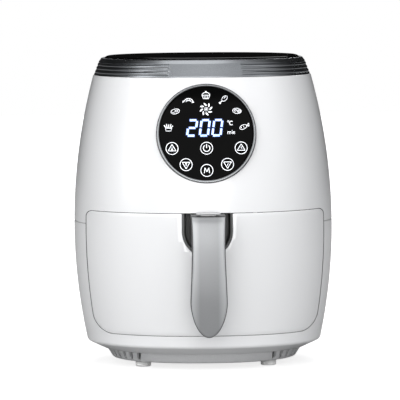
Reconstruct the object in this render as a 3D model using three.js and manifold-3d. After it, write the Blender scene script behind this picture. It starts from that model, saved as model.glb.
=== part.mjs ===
// A round-bodied air fryer with a pull-out basket drawer, built as an assembly.
// Millimetres, +Z up. The origin is on the table under the middle of the body, and the drawer faces -Y.
import * as THREE from "three";
import { mergeVertices } from "three/addons/utils/BufferGeometryUtils.js";
import Module from "manifold-3d";

const wasm = await Module();
wasm.setup();

// ---- Driving dimensions ----
const GAP = 0.3; // between pieces that touch
const WALL = 2.6; // moulded housing wall
const BODY_HALF_WIDTH = 133; // at the widest level
const WIDEST_Z = 141;
const UPPER_RADIUS = 588; // side profile above the widest level
const LOWER_RADIUS = 540; // side profile below it
const PLAN_POWER = 2.2; // how square the body is seen from above: 2 is an ellipse
const DEPTH_RATIO = 1.05; // body depth over body width
const FOOT_HEIGHT = 6;
const SKIRT_Z = 16.4; // lower edge of the lower housing
const SPLIT_Z = 147; // seam between the two housings
const DRAWER_TOP_Z = 161;
const DRAWER_BOTTOM_Z = 36.5;
const DRAWER_SHARE = 0.912; // drawer front's share of the body width
const BAND_Z = 296.5; // top of the upper housing
const TOP_Z = 316;
const FINE = 48; // segments round the outer shells
const COARSE = 36; // segments round what is inside

// ---- Finishes ----
const finish = (color, roughness, metalness = 0) =>
  new THREE.MeshStandardMaterial({ color, roughness, metalness });
const WHITE = finish(0xeff1f2, 0.25);
const LIGHT_GREY = finish(0xc9cbcc, 0.4);
const SILVER = finish(0x9a9d9f, 0.3, 0.8);
const HANDLE_GREY = finish(0x9b9d9d, 0.45, 0.3);
const BLACK_GLOSS = finish(0x050505, 0.06);
const DARK_PLASTIC = finish(0x3a3b3a, 0.6);
const RUBBER = finish(0xd9d9d6, 0.8);
const STEEL = finish(0xa7a9ab, 0.35, 1);
const NON_STICK = finish(0x1c1c1e, 0.5, 0.2);
const COPPER_BOARD = finish(0x14502c, 0.5);
const CERAMIC = finish(0xe8e2d4, 0.5);
const BRONZE = finish(0x9c7a45, 0.4, 1);

const group = new THREE.Group();

// ---- Solids ----
// A closed three.js geometry as a manifold-3d solid.
function solid(geometry) {
  const plain = geometry.clone();
  plain.deleteAttribute("normal");
  plain.deleteAttribute("uv");
  const merged = mergeVertices(plain, 1e-3);
  return new wasm.Manifold(
    new wasm.Mesh({
      numProp: 3,
      vertProperties: merged.attributes.position.array,
      triVerts: new Uint32Array(merged.index.array),
    }),
  );
}

// Adds a named piece to the assembly, or to the sub-assembly given.
function add(name, shape, material, parent = group) {
  const mesh = shape.getMesh();
  const geometry = new THREE.BufferGeometry();
  geometry.setAttribute("position", new THREE.BufferAttribute(mesh.vertProperties, 3));
  geometry.setIndex(new THREE.BufferAttribute(mesh.triVerts, 1));
  geometry.computeVertexNormals();
  const piece = new THREE.Mesh(geometry, material);
  piece.name = name;
  parent.add(piece);
}

// A profile of [radius, z] points turned about Z. It starts and ends on the axis or closes on itself.
function turned(points, segments = COARSE) {
  const profile = points.map(([r, z]) => new THREE.Vector2(r, z));
  if (THREE.ShapeUtils.area(profile) < 0) profile.reverse();
  if (profile[0].x > 0) profile.push(profile[0].clone());
  return new THREE.LatheGeometry(profile, segments).rotateX(Math.PI / 2);
}

// Moves a turned geometry's round section to a superellipse that is DEPTH_RATIO deep.
function squared(geometry, power = PLAN_POWER, ratio = DEPTH_RATIO, middleY = 0) {
  const at = geometry.attributes.position;
  for (let i = 0; i < at.count; i++) {
    const [x, y] = [at.getX(i), at.getY(i)];
    const radius = Math.hypot(x, y);
    if (radius < 1e-6) {
      at.setY(i, middleY);
      continue;
    }
    const [cos, sin] = [x / radius, y / radius];
    const reach = (Math.abs(cos) ** power + Math.abs(sin) ** power) ** (-1 / power);
    at.setX(i, cos * reach * radius);
    at.setY(i, sin * reach * radius * ratio + middleY);
  }
  return geometry;
}

const tub = (points, segments, power, ratio, middleY) =>
  solid(squared(turned(points, segments), power, ratio, middleY));
const drum = (points, segments) => solid(turned(points, segments));

function box([x0, x1], [y0, y1], [z0, z1]) {
  const geometry = new THREE.BoxGeometry(x1 - x0, y1 - y0, z1 - z0);
  return solid(geometry.translate((x0 + x1) / 2, (y0 + y1) / 2, (z0 + z1) / 2));
}

// A cylinder from z0 to z1, standing at (x, y).
const rod = (radius, z0, z1, [x, y] = [0, 0], segments = 16) =>
  drum([[0, z0], [radius, z0], [radius, z1], [0, z1]], segments).translate([x, y, 0]);

// A ring from z0 to z1.
const ring = (inner, outer, z0, z1, segments = COARSE) =>
  drum([[inner, z0], [outer, z0], [outer, z1], [inner, z1]], segments);

// An outline in X and Z, carried along Y from y0 to y1.
function alongY(shape, y0, y1, curveSegments = 8) {
  const geometry = new THREE.ExtrudeGeometry(shape, { depth: y1 - y0, bevelEnabled: false, curveSegments });
  return solid(geometry.rotateX(Math.PI / 2).translate(0, y1, 0));
}

// An outline in Y and Z, carried along X to halfWidth on each side.
function alongX(shape, halfWidth, curveSegments = 8) {
  const options = { depth: 2 * halfWidth, bevelEnabled: false, curveSegments };
  const geometry = new THREE.ExtrudeGeometry(shape, options);
  return solid(geometry.rotateX(Math.PI / 2).rotateZ(Math.PI / 2).translate(-halfWidth, 0, 0));
}

function roundedRectangle(halfWidth, z0, z1, lowRadius, highRadius) {
  const shape = new THREE.Shape();
  shape.moveTo(-halfWidth + lowRadius, z0);
  shape.lineTo(halfWidth - lowRadius, z0);
  shape.absarc(halfWidth - lowRadius, z0 + lowRadius, lowRadius, -Math.PI / 2, 0);
  shape.lineTo(halfWidth, z1 - highRadius);
  shape.absarc(halfWidth - highRadius, z1 - highRadius, highRadius, 0, Math.PI / 2);
  shape.lineTo(-halfWidth + highRadius, z1);
  shape.absarc(-halfWidth + highRadius, z1 - highRadius, highRadius, Math.PI / 2, Math.PI);
  shape.lineTo(-halfWidth, z0 + lowRadius);
  shape.absarc(-halfWidth + lowRadius, z0 + lowRadius, lowRadius, Math.PI, 1.5 * Math.PI);
  return shape;
}

// ---- Body surface ----
function halfWidthAt(z) {
  const radius = z > WIDEST_Z ? UPPER_RADIUS : LOWER_RADIUS;
  return BODY_HALF_WIDTH - radius + Math.sqrt(radius ** 2 - (z - WIDEST_Z) ** 2);
}

// Points of the side profile from z0 to z1, set in by inset.
function side(z0, z1, inset = 0, steps = 4) {
  return Array.from({ length: steps + 1 }, (_, i) => {
    const z = z0 + ((z1 - z0) * i) / steps;
    return [halfWidthAt(z) - inset, z];
  });
}

// The rounded lower edge of the housing, from its underside up to where the side begins.
const SKIRT_TOP_Z = 27;
const SKIRT_RADIUS = 4.4;
const SKIRT_SLOPE = THREE.MathUtils.degToRad(25);
function skirt(inset = 0, steps = 3) {
  const middle = [halfWidthAt(SKIRT_TOP_Z) - SKIRT_RADIUS, SKIRT_TOP_Z];
  const radius = SKIRT_RADIUS - inset;
  const arc = Array.from({ length: steps }, (_, i) => {
    const angle = (SKIRT_SLOPE - Math.PI / 2) * (1 - i / steps);
    return [middle[0] + radius * Math.cos(angle), middle[1] + radius * Math.sin(angle)];
  });
  const [x, z] = arc[0];
  const inner = x - (z - SKIRT_Z - inset) / Math.tan(SKIRT_SLOPE);
  return [[inner, SKIRT_Z + inset], ...arc];
}

// Where the body's front is, at the middle of its width.
const frontY = (z) => -halfWidthAt(z) * DEPTH_RATIO;

// ---- Drawer outline: a rounded rectangle that narrows with the body ----
function drawerOutline(grow) {
  const halfWidth = BODY_HALF_WIDTH * DRAWER_SHARE + grow;
  const [low, high] = [DRAWER_BOTTOM_Z - grow, DRAWER_TOP_Z + grow];
  const corners = roundedRectangle(halfWidth, low, high, 18 + grow, 6 + grow).getPoints(4);
  const points = [];
  corners.forEach((from, i) => {
    const to = corners[(i + 1) % corners.length];
    const steps = Math.abs(to.y - from.y) > 30 ? 4 : 1;
    for (let k = 0; k < steps; k++) points.push(from.clone().lerp(to, k / steps));
  });
  points.forEach((p) => (p.x *= halfWidthAt(p.y) / BODY_HALF_WIDTH));
  return new THREE.Shape(points);
}
const drawerPrism = (grow) => alongY(drawerOutline(grow), -200, -46.5);

// ---- Display position: a flat round panel leaning back with the body ----
const DISPLAY_Z = 241;
const DISPLAY_RADIUS = 50.2;
const DISPLAY_TILT = Math.asin((DEPTH_RATIO * (DISPLAY_Z - WIDEST_Z)) / UPPER_RADIUS);
const DISPLAY_SINK = 1.2;
const display = new THREE.Group();
display.position.set(0, frontY(DISPLAY_Z) + DISPLAY_SINK, DISPLAY_Z);
display.rotation.x = Math.PI / 2 - DISPLAY_TILT;
group.add(display);
const displayHole = rod(DISPLAY_RADIUS + GAP, -40, 40, [0, 0], 48)
  .rotate([90 - THREE.MathUtils.radToDeg(DISPLAY_TILT), 0, 0])
  .translate(display.position.toArray());

// ---- Rear openings ----
const GRILLE = { halfWidth: 46, low: 188, high: 236 };
const grilleHole = (grow) => {
  const { halfWidth, low, high } = GRILLE;
  return alongY(roundedRectangle(halfWidth + grow, low - grow, high + grow, 8, 8), 90, 160, 4);
};
const GLAND = { x: 62, z: 52, radius: 6 };
const glandHole = (radius) =>
  rod(radius, -170, -80, [0, 0], 20).rotate([90, 0, 0]).translate([GLAND.x, 0, GLAND.z]);

// ---- Housings ----
const LIP = 7; // inward lip that carries the trim band
const upperHousing = tub([
  ...side(SPLIT_Z + GAP / 2, BAND_Z),
  [halfWidthAt(BAND_Z) - LIP, BAND_Z],
  [halfWidthAt(BAND_Z) - LIP, BAND_Z - WALL],
  ...side(SPLIT_Z + GAP / 2, BAND_Z - WALL, WALL, 3).reverse(),
], FINE);
add("upper_housing", upperHousing.subtract(drawerPrism(0.35)).subtract(displayHole).subtract(grilleHole(GAP)), WHITE);

const lowerHousing = tub([
  ...skirt(),
  ...side(SKIRT_TOP_Z, SPLIT_Z - GAP / 2),
  ...side(SKIRT_TOP_Z, SPLIT_Z - GAP / 2, WALL, 3).reverse(),
  ...skirt(WALL, 2).reverse(),
], FINE);
add("lower_housing", lowerHousing.subtract(drawerPrism(0.35)).subtract(glandHole(GLAND.radius + GAP)), WHITE);

// ---- Base, vents and feet ----
const BASE_RADIUS = 94;
const BASE_TOP = 101.4;
const FOOT_X = 64;
const FOOT_Y = 58;
const PLATE_Z = 8.6; // upper face of the base plate
const VENTS_PER_CORNER = 7;
const corners = [[-1, -1, "front_left"], [1, -1, "front_right"], [-1, 1, "rear_left"], [1, 1, "rear_right"]];
const POST = { x: 44, y: 62, radius: 5 };
let base = tub([
  [0, FOOT_HEIGHT], [BASE_RADIUS, FOOT_HEIGHT], [97, 10], [BASE_TOP, 16.6], [BASE_TOP, 19.5], [113, 24.8],
  [113, 26.6], [98.9, 20], [98.9, 17.4], [94.4, 11.2], [92.4, PLATE_Z], [0, PLATE_Z],
], FINE);
for (const sx of [-1, 1]) {
  for (let i = 0; i < VENTS_PER_CORNER; i++) {
    const slot = box([-2, 2], [-108, -88], [9.5, 18.5]);
    base = base.subtract(slot.rotate([0, 0, sx * (41 + 6.2 * i)]));
  }
}
for (const [sx, sy] of corners) {
  base = base.subtract(rod(3 + GAP, 0, 12, [sx * FOOT_X, sy * FOOT_Y]));
  base = base.subtract(rod(2 + GAP, 0, 12, [sx * POST.x, sy * POST.y], 10));
}
const INLET_SLOTS = 8;
for (let i = 0; i < INLET_SLOTS; i++) {
  const slot = box([-2.5, 2.5], [22, 44], [0, 12]);
  base = base.subtract(slot.rotate([0, 0, (360 * (i + 0.5)) / INLET_SLOTS]));
}
add("base_cover", base, LIGHT_GREY);

for (const [sx, sy, corner] of corners) {
  const foot = drum([[0, 0], [7, 0], [8, 1], [8, FOOT_HEIGHT - GAP], [3, FOOT_HEIGHT - GAP], [3, 11], [0, 11]], 16);
  add(`foot_${corner}`, foot.translate([sx * FOOT_X, sy * FOOT_Y, 0]), RUBBER);
  const head = FOOT_HEIGHT - GAP;
  const screw = drum([[0, head - 1.6], [4, head - 1.6], [4, head], [2, head], [2, 20], [0, 20]], 10);
  add(`base_screw_${corner}`, screw.translate([sx * POST.x, sy * POST.y, 0]), STEEL);
}

// ---- Trim band and top ----
const BAND_TOP = 314;
const bandFoot = halfWidthAt(BAND_Z) - 0.8;
add("top_band", tub([
  [bandFoot, BAND_Z + GAP], [bandFoot - 3.6, 307], [104.9, 312], [103, BAND_TOP], [100.5, BAND_TOP],
  [100.5, 309], [bandFoot - 6.3, 305.5], [bandFoot - 5.4, BAND_Z + GAP],
], FINE), SILVER);
add("top_cover", tub([
  [0, 312], [95.5, 312], [95.5, 308], [100.2, 308], [100.2, BAND_TOP - 0.4], [97.2, TOP_Z], [90, TOP_Z - 0.6],
  [0, TOP_Z - 1],
], FINE), BLACK_GLOSS);

// ---- Display stack, in the display's own frame: +Z points out of the panel ----
add("display_bezel", ring(47.4, DISPLAY_RADIUS, -14, 0.8, 48), SILVER, display);
add("display_lens", rod(47.1, -3, -0.2, [0, 0], 48), BLACK_GLOSS, display);
const LED_WINDOW = [[-24, 24], [-10, 12]];
const LIGHT_FRAME_DEPTH = 5;
const [ledX, ledY] = LED_WINDOW;
const lightFrame = rod(44, -3.3 - LIGHT_FRAME_DEPTH, -3.3, [0, 0], 32);
add("icon_light_guide", lightFrame.subtract(box(ledX, ledY, [-10, 0])), CERAMIC, display);
const [ledX0, ledX1] = [ledX[0] + GAP, ledX[1] - GAP];
add("led_display", box([ledX0, ledX1], [ledY[0] + GAP, ledY[1] - GAP], [-8.2, -3.5]), DARK_PLASTIC, display);
add("touch_board", rod(44, -10.2, -8.6, [0, 0], 32), COPPER_BOARD, display);
add("display_carrier", drum([[0, -15], [50.2, -15], [50.2, -14.4], [47, -14.4], [47, -10.5], [45, -10.5], [45, -13.2],
  [0, -13.2]], 32), DARK_PLASTIC, display);

// ---- Cooking chamber ----
const CHAMBER = { radius: 111, wall: 1.5, power: PLAN_POWER, ratio: 1, low: 36.4, high: 198 };
const chamberTub = (points, segments = COARSE) => tub(points, segments, CHAMBER.power, CHAMBER.ratio);
const OPENING_HALF_WIDTH = 107;
const OPENING_TOP = 163;
const liner = chamberTub([
  [CHAMBER.radius - CHAMBER.wall, CHAMBER.low], [CHAMBER.radius, CHAMBER.low], [CHAMBER.radius, CHAMBER.high],
  [103, CHAMBER.high], [103, CHAMBER.high - CHAMBER.wall], [CHAMBER.radius - CHAMBER.wall, CHAMBER.high - CHAMBER.wall],
]);
const mouth = box([-OPENING_HALF_WIDTH, OPENING_HALF_WIDTH], [-150, -10], [0, OPENING_TOP]);
add("chamber_liner", liner.subtract(mouth), STEEL);

let floor = tub([[0, 34], [118.3, 34], [118.3, 36.1], [0, 36.1]]);
for (const [sx, sy] of corners) {
  const post = rod(POST.radius, PLATE_Z + GAP, 34.5, [sx * POST.x, sy * POST.y], 10);
  floor = floor.add(post).subtract(rod(2 + GAP, 0, 22, [sx * POST.x, sy * POST.y], 10));
}
for (const sx of [-1, 1]) floor = floor.add(box([sx * 70 - 3, sx * 70 + 3], [-100, 70], [35.5, 40.4]));
add("chamber_floor", floor, DARK_PLASTIC);

const frameOutline = tub(
  [[0, 36.5], ...side(36.5, OPENING_TOP, WALL + 1), [0, OPENING_TOP]],
);
const frameHole = box([-OPENING_HALF_WIDTH, OPENING_HALF_WIDTH], [-60, -20], [30, 160.6]);
add("opening_frame", frameOutline.intersect(box([-140, 140], [-45.5, -43.5], [30, 170])).subtract(frameHole), DARK_PLASTIC);

const PLUNGER = { x: 49, y: -119, radius: 2 };
const deck = tub([[0, 163.4], [halfWidthAt(163) - WALL - 1, 163.4], [halfWidthAt(163) - WALL - 1, 165.4], [0, 165.4]]);
const deckHole = chamberTub([[0, 150], [CHAMBER.radius + GAP, 150], [CHAMBER.radius + GAP, 180], [0, 180]]);
const plungerHole = rod(PLUNGER.radius + 0.6, 150, 180, [PLUNGER.x, PLUNGER.y], 12);
add("upper_deck", deck.subtract(deckHole).subtract(plungerHole), DARK_PLASTIC);

// ---- Heater ----
const TERMINAL_X = 86;
const terminalHoles = (shape, radius) =>
  [-1, 1].reduce((made, sx) => made.subtract(rod(radius, 190, 240, [sx * TERMINAL_X, 0], 10)), shape);
const PROBE = [-45, 71];
const probeHole = rod(2.5 + GAP, 190, 240, PROBE, 10);
const reflector = chamberTub([
  [8, 212], [95, 212], [101, 200], [106, 200], [106, CHAMBER.high + GAP], [100, CHAMBER.high + GAP], [94, 210.6], [8, 210.6],
]);
add("reflector", terminalHoles(reflector, 4.2).subtract(probeHole), STEEL);

// A double spiral: each arm winds out from the middle and ends in a leg that rises through the reflector.
class ElementPath extends THREE.Curve {
  getPoint(t, target = new THREE.Vector3()) {
    const legShare = 0.09;
    const [height, turns, lift] = [184, 1.5, 42];
    const end = Math.min(t, 1 - t);
    const along = Math.max(0, (end - legShare) / (0.5 - legShare));
    const angle = (1 - along) * turns * 2 * Math.PI + (t > 0.5 ? Math.PI : 0);
    const rise = end < legShare ? lift * (1 - end / legShare) : 0;
    const radius = TERMINAL_X * (1 - along);
    return target.set(radius * Math.cos(angle), radius * Math.sin(angle), height + rise);
  }
}
const tubeSection = new THREE.Shape(new THREE.Path().absarc(0, 0, 3.3, 0, 2 * Math.PI).getPoints(6).slice(0, 6));
const elementTube = new THREE.ExtrudeGeometry(tubeSection, { steps: 56, extrudePath: new ElementPath() });
add("heating_element", solid(elementTube), STEEL);

const shieldTop = 218;
const shield = chamberTub([
  [8, shieldTop - 1.4], [107.6, shieldTop - 1.4], [107.6, CHAMBER.high + GAP], [109, CHAMBER.high + GAP],
  [109, shieldTop], [8, shieldTop],
]);
add("heat_shield", terminalHoles(shield, 4.2).subtract(probeHole), STEEL);
for (const [sx, sideName] of [[-1, "left"], [1, "right"]]) {
  const bead = ring(3.3 + 0.4, 7, shieldTop + GAP, 224, 16).translate([sx * TERMINAL_X, 0, 0]);
  add(`terminal_insulator_${sideName}`, bead, CERAMIC);
}
add("temperature_probe", drum([[0, 200], [2.5, 200], [2.5, shieldTop + GAP], [5, shieldTop + GAP], [5, 226], [0, 226]], 12)
  .translate([...PROBE, 0]), STEEL);
add("thermal_cutout", drum([[0, shieldTop + GAP], [8, shieldTop + GAP], [8, 224], [5, 227], [0, 227]], 16)
  .translate([70, 50, 0]), CERAMIC);

// ---- Motor, fans and shaft ----
const BRACKET_Z = 236;
let bracket = ring(9, 72, BRACKET_Z, BRACKET_Z + 2);
for (let i = 0; i < 3; i++) {
  const window = box([-20, 20], [41, 58], [230, 245]).rotate([0, 0, 120 * i]);
  const leg = rod(4, shieldTop + GAP, BRACKET_Z + 1, [0, 66], 8).rotate([0, 0, 120 * i + 60]);
  bracket = bracket.subtract(window).add(leg);
}
add("motor_bracket", bracket, STEEL);
const MOTOR = { radius: 34, low: BRACKET_Z + 2 + GAP, high: 274 };
add("motor_can", drum([
  [7, MOTOR.low], [MOTOR.radius, MOTOR.low], [MOTOR.radius, MOTOR.high - 5], [MOTOR.radius - 5, MOTOR.high],
  [7, MOTOR.high], [7, MOTOR.high - 1.5], [MOTOR.radius - 6, MOTOR.high - 1.5], [MOTOR.radius - 1.5, MOTOR.high - 6],
  [MOTOR.radius - 1.5, MOTOR.low + 1.5], [7, MOTOR.low + 1.5],
], 24), STEEL);
add("motor_stator", ring(18.5, 32, 246, 264, 24), BRONZE);
add("bearing_lower", ring(3.3, 6.7, MOTOR.low, 243, 16), BRONZE);
add("bearing_upper", ring(3.3, 6.7, 269, MOTOR.high, 16), BRONZE);
add("motor_shaft", rod(3, 189.5, 279, [0, 0], 16), STEEL);
add("rotor_core", ring(3.3, 17.5, 246, 264, 24), STEEL);
add("fan_nut", rod(6, 189.8, 194.7, [0, 0], 6).subtract(rod(3 + GAP, 180, 200)), STEEL);

let hotFan = ring(3.3, 10, 195, 209, 20).add(ring(9, 72, 207.6, 208.8));
for (let i = 0; i < 10; i++) {
  hotFan = hotFan.add(box([-0.7, 0.7], [30, 71], [196.5, 208]).rotate([0, 0, 36 * i]));
}
add("hot_air_fan", hotFan, STEEL);
let coolingFan = ring(3.3, 12, 221, 233, 20);
for (let i = 0; i < 7; i++) {
  const blade = box([-1, 1], [10, 56], [222, 232]).rotate([0, 35, 0]).translate([130, 0, 186]);
  const level = blade.boundingBox();
  const centred = blade.translate([-(level.min[0] + level.max[0]) / 2, 0, 227 - (level.min[2] + level.max[2]) / 2]);
  coolingFan = coolingFan.add(centred.rotate([0, 0, (360 * i) / 7]));
}
add("cooling_fan", coolingFan, DARK_PLASTIC);

// ---- Electrics ----
const BOARD_Y = 84;
add("mains_board", box([-52, 52], [BOARD_Y, BOARD_Y + 1.6], [shieldTop + GAP, 264]), COPPER_BOARD);
add("relay", box([-40, -22], [BOARD_Y - 15, BOARD_Y - GAP], [240, 262]), DARK_PLASTIC);
add("filter_capacitor", box([-4, 22], [BOARD_Y - 10, BOARD_Y - GAP], [248, 264]), BRONZE);
const SWITCH = [[41, 57], [-123.6, -114], [165.7, 178]];
const switchBore = rod(PLUNGER.radius + 0.4, 160, 173, [PLUNGER.x, PLUNGER.y], 12);
add("door_switch", box(...SWITCH).subtract(switchBore), DARK_PLASTIC);
add("switch_plunger", rod(PLUNGER.radius, 159.4, 170, [PLUNGER.x, PLUNGER.y], 12), RUBBER);

// ---- Rear fittings ----
const slab = tub([[0, 150], ...side(150, 270, 0.2), [0, 270]], FINE)
  .subtract(tub([[0, 140], ...side(140, 280, WALL + 0.6), [0, 280]], FINE));
let grille = slab.intersect(grilleHole(0));
for (let z = GRILLE.low + 6; z < GRILLE.high - 5; z += 7) {
  grille = grille.subtract(box([-40, 40], [90, 160], [z, z + 3.4]));
}
add("rear_grille", grille, DARK_PLASTIC);
const glandShare = (GLAND.x - 10) / halfWidthAt(GLAND.z);
const glandY = -frontY(GLAND.z) * (1 - glandShare ** PLAN_POWER) ** (1 / PLAN_POWER) + 1;
add("cord_gland", drum([[3.4, 0], [GLAND.radius, 0], [GLAND.radius, 9], [9.5, 11], [9.5, 13], [3.4, 13]], 20)
  .rotate([-90, 0, 0]).translate([GLAND.x, glandY - 9, GLAND.z]), DARK_PLASTIC);

// ---- Drawer front ----
const RECESS = { halfWidth: 25.6, middleZ: 142.5, depthY: -118 };
function recessOutline(grow) {
  const halfWidth = RECESS.halfWidth + grow;
  const shape = new THREE.Shape();
  shape.moveTo(halfWidth, 175);
  shape.lineTo(-halfWidth, 175);
  shape.absarc(0, RECESS.middleZ, halfWidth, Math.PI, 2 * Math.PI);
  return shape;
}
const drawerShell = tub([
  ...side(20, 170), ...side(20, 170, WALL).reverse(),
], FINE).intersect(drawerPrism(-0.2));
add("drawer_front", drawerShell.subtract(alongY(recessOutline(0), -160, -100)), WHITE);

const BRACKET = { halfWidth: 12, low: 154.1, thick: 1.9 };
const bracketNotch = box([-BRACKET.halfWidth - 0.8, BRACKET.halfWidth + 0.8], [-130, -100], [153, 175]);
const BOLT = { halfWidth: 3.5, low: 140.5, high: 145, frontY: -165, tipY: -117 };
const boltHole = box(
  [-BOLT.halfWidth - 0.6, BOLT.halfWidth + 0.6], [-128, -105], [BOLT.low - 0.6, BOLT.high + 0.6],
);
const pocket = alongY(recessOutline(-GAP), -160, RECESS.depthY)
  .subtract(alongY(recessOutline(-2.3), -161, RECESS.depthY - 2))
  .intersect(tub([[0, 100], ...side(100, DRAWER_TOP_Z - 0.6, 0.8), [0, DRAWER_TOP_Z - 0.6]], FINE))
  .subtract(bracketNotch)
  .subtract(boltHole);
add("handle_recess", pocket, DARK_PLASTIC);

const backing = box([-77, 77], [-115.5, -112.7], [41.5, 158.4])
  .add(box([PLUNGER.x - 4, PLUNGER.x + 4], [PLUNGER.y - 3, -115], [156.4, 158.4]))
  .subtract(bracketNotch)
  .intersect(tub([[0, 41], ...side(41, 158.4, WALL + 4), [0, 158.4]], FINE));
add("front_backing", backing, DARK_PLASTIC);

// ---- Pan and basket ----
const PAN = { power: 3, ratio: 0.98, middleY: -11 };
const panTub = (points, segments = COARSE) => tub(points, segments, PAN.power, PAN.ratio, PAN.middleY);
add("pan", panTub([
  [0, 41], [88, 41], [94, 47], [101, 150], [103.4, 150], [103.4, 152], [99.5, 152], [92.4, 48], [87.2, 42.6], [0, 42.6],
]), NON_STICK);
add("basket", panTub([
  [0, 52], [84, 52], [89, 57], [97, 151], [97, 152.3], [102.4, 152.3], [102.4, 153.8], [95.6, 153.8], [87.6, 58],
  [83.4, 53.4], [0, 53.4],
]), NON_STICK);
const { halfWidth: bracketHalf, low: bracketLow, thick: bracketThick } = BRACKET;
const HANDLE_BACK = -125;
const tabFront = HANDLE_BACK + GAP;
add("basket_bracket", box([-bracketHalf, bracketHalf], [tabFront, -100], [bracketLow, bracketLow + bracketThick])
  .add(box([-bracketHalf, bracketHalf], [tabFront, tabFront + bracketThick], [133, bracketLow + bracketThick]))
  .subtract(boltHole), STEEL);

// ---- Handle ----
const HANDLE = { backY: HANDLE_BACK, top: 160.4, tip: 38.5 };
// The line of the handle's front face seen from the side, from its top down to its tip, set in by inset.
function handleFront(inset) {
  const line = new THREE.CatmullRomCurve3([
    [-171.5 + inset, HANDLE.top], [-177 + inset, 154.5], [-180 + inset, 128], [-178.5 + inset, 84],
    [-172 + inset, HANDLE.tip],
  ].map(([y, z]) => new THREE.Vector3(y, z, 0)));
  return line.getPoints(14).map((p) => [p.x, p.y]);
}
const handleBack = [[-166, HANDLE.tip], [-166.5, 84], [-165, 118], [-158, 129], [HANDLE.backY, 131]];
function handleSide(inset) {
  const points = [[HANDLE.backY, HANDLE.top], ...handleFront(inset), ...handleBack.slice(1)];
  return new THREE.Shape(points.map(([y, z]) => new THREE.Vector2(y, z)));
}
// The handle seen from the front: a waist near the top, widest low down, and a blunt half ellipse at the tip.
const HANDLE_HALF = { top: 17.3, waist: 16.3, wide: 18.5, wideZ: 74 };
function handleFace(grow) {
  const { top, waist, wide, wideZ } = HANDLE_HALF;
  const edge = new THREE.SplineCurve([
    new THREE.Vector2(top + grow, 164), new THREE.Vector2(waist + grow + 0.3, 140),
    new THREE.Vector2(waist + grow + 0.4, 118), new THREE.Vector2(wide + grow, wideZ),
  ]).getPoints(9);
  const drop = wideZ - HANDLE.tip + grow;
  const tip = Array.from({ length: 11 }, (_, i) => {
    const angle = (Math.PI * (i + 1)) / 12;
    return new THREE.Vector2((wide + grow) * Math.cos(angle), wideZ - drop * Math.sin(angle) ** 1.15);
  });
  return new THREE.Shape([...edge, ...tip, ...edge.map((p) => new THREE.Vector2(-p.x, p.y)).reverse()]);
}
const SKIN = 2.4;
const innerBlock = alongX(handleSide(SKIN), 30);
const wholeBlock = alongX(handleSide(0), 30);
const BUTTON = { halfWidth: 7.8, front: -168, back: -158, low: 151.2, top: 161.6 };
const CAVITY_Z = [139, 153.8];
const cavity = box([-9.2, 9.2], [-169.5, -127.5], CAVITY_Z);
const slotHalf = BUTTON.halfWidth + 0.5;
const buttonSlot = box([-slotHalf, slotHalf], [BUTTON.front - 0.5, BUTTON.back + 0.5], [150, 170]);
const coreBlock = innerBlock.intersect(alongY(handleFace(0), -200, -100));
add("handle_core", coreBlock.subtract(cavity).subtract(buttonSlot).subtract(boltHole), DARK_PLASTIC);
const cover = wholeBlock
  .subtract(alongX(handleSide(SKIN - GAP), 31))
  .intersect(alongY(handleFace(-0.7), -200, -100))
  .intersect(box([-40, 40], [-200, -169.4], [30, 159.6]));
add("handle_cover", cover, HANDLE_GREY);

// ---- Basket release, in the top of the handle: a sloped foot under the button draws the bolt forward ----
const SLOPE = { top: 147.2, low: 142.5, clear: 0.6 };
const slopeY = (z) => BOLT.frontY + SLOPE.top - z; // the bolt's 45 degree face
const FOOT_Z = 146.4;
const FOOT_BACK = -160.6;
const foot = new THREE.Shape([
  [slopeY(FOOT_Z) + SLOPE.clear, FOOT_Z], [FOOT_BACK, FOOT_Z], [FOOT_BACK, 152],
  [slopeY(SLOPE.top) + SLOPE.clear, 152], [slopeY(SLOPE.top) + SLOPE.clear, SLOPE.top],
].map(([y, z]) => new THREE.Vector2(y, z)));
const buttonBody = box([-BUTTON.halfWidth, BUTTON.halfWidth], [BUTTON.front, BUTTON.back], [BUTTON.low, BUTTON.top]);
const buttonRim = box([-8.6, 8.6], [BUTTON.front - 1, BUTTON.back + 1], [BUTTON.low, BUTTON.low + 1.6]);
add("release_button", buttonBody.add(buttonRim).add(alongX(foot, 3)), LIGHT_GREY);
add("button_cover", box([-12, 12], [-170.5, -155.8], [162, 163.4]), LIGHT_GREY);

const bolt = new THREE.Shape([
  [BOLT.frontY, BOLT.low], [BOLT.tipY, BOLT.low], [BOLT.tipY, BOLT.high - 1.5], [BOLT.tipY - 1.5, BOLT.high],
  [FOOT_BACK + 4.2, BOLT.high], [FOOT_BACK + 4.2, SLOPE.low], [slopeY(SLOPE.low), SLOPE.low], [BOLT.frontY, SLOPE.top],
].map(([y, z]) => new THREE.Vector2(y, z)));
add("release_bolt", alongX(bolt, BOLT.halfWidth), DARK_PLASTIC);

// A coil spring stands on each side of the bolt and pushes the button up.
const SPRING = { x: 6.4, y: -161, radius: 1.9, wire: 0.4, turns: 3, low: 139.9, high: 150.3 };
class Helix extends THREE.Curve {
  getPoint(t, target = new THREE.Vector3()) {
    const angle = 2 * Math.PI * SPRING.turns * t;
    const [x, y] = [SPRING.radius * Math.cos(angle), SPRING.radius * Math.sin(angle)];
    return target.set(x, SPRING.y + y, SPRING.low + (SPRING.high - SPRING.low) * t);
  }
}
const wire = new THREE.Shape(new THREE.Path().absarc(0, 0, SPRING.wire, 0, 2 * Math.PI).getPoints(4).slice(0, 4));
const spring = solid(new THREE.ExtrudeGeometry(wire, { steps: 24, extrudePath: new Helix() }));
add("button_spring_left", spring.translate([-SPRING.x, 0, 0]), STEEL);
add("button_spring_right", spring.translate([SPRING.x, 0, 0]), STEEL);

export default group;
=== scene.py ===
"""A round air fryer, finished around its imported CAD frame. Metres, +Z up, the drawer faces -Y."""

import math

import bmesh
import bpy
from mathutils import Matrix, Vector


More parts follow.
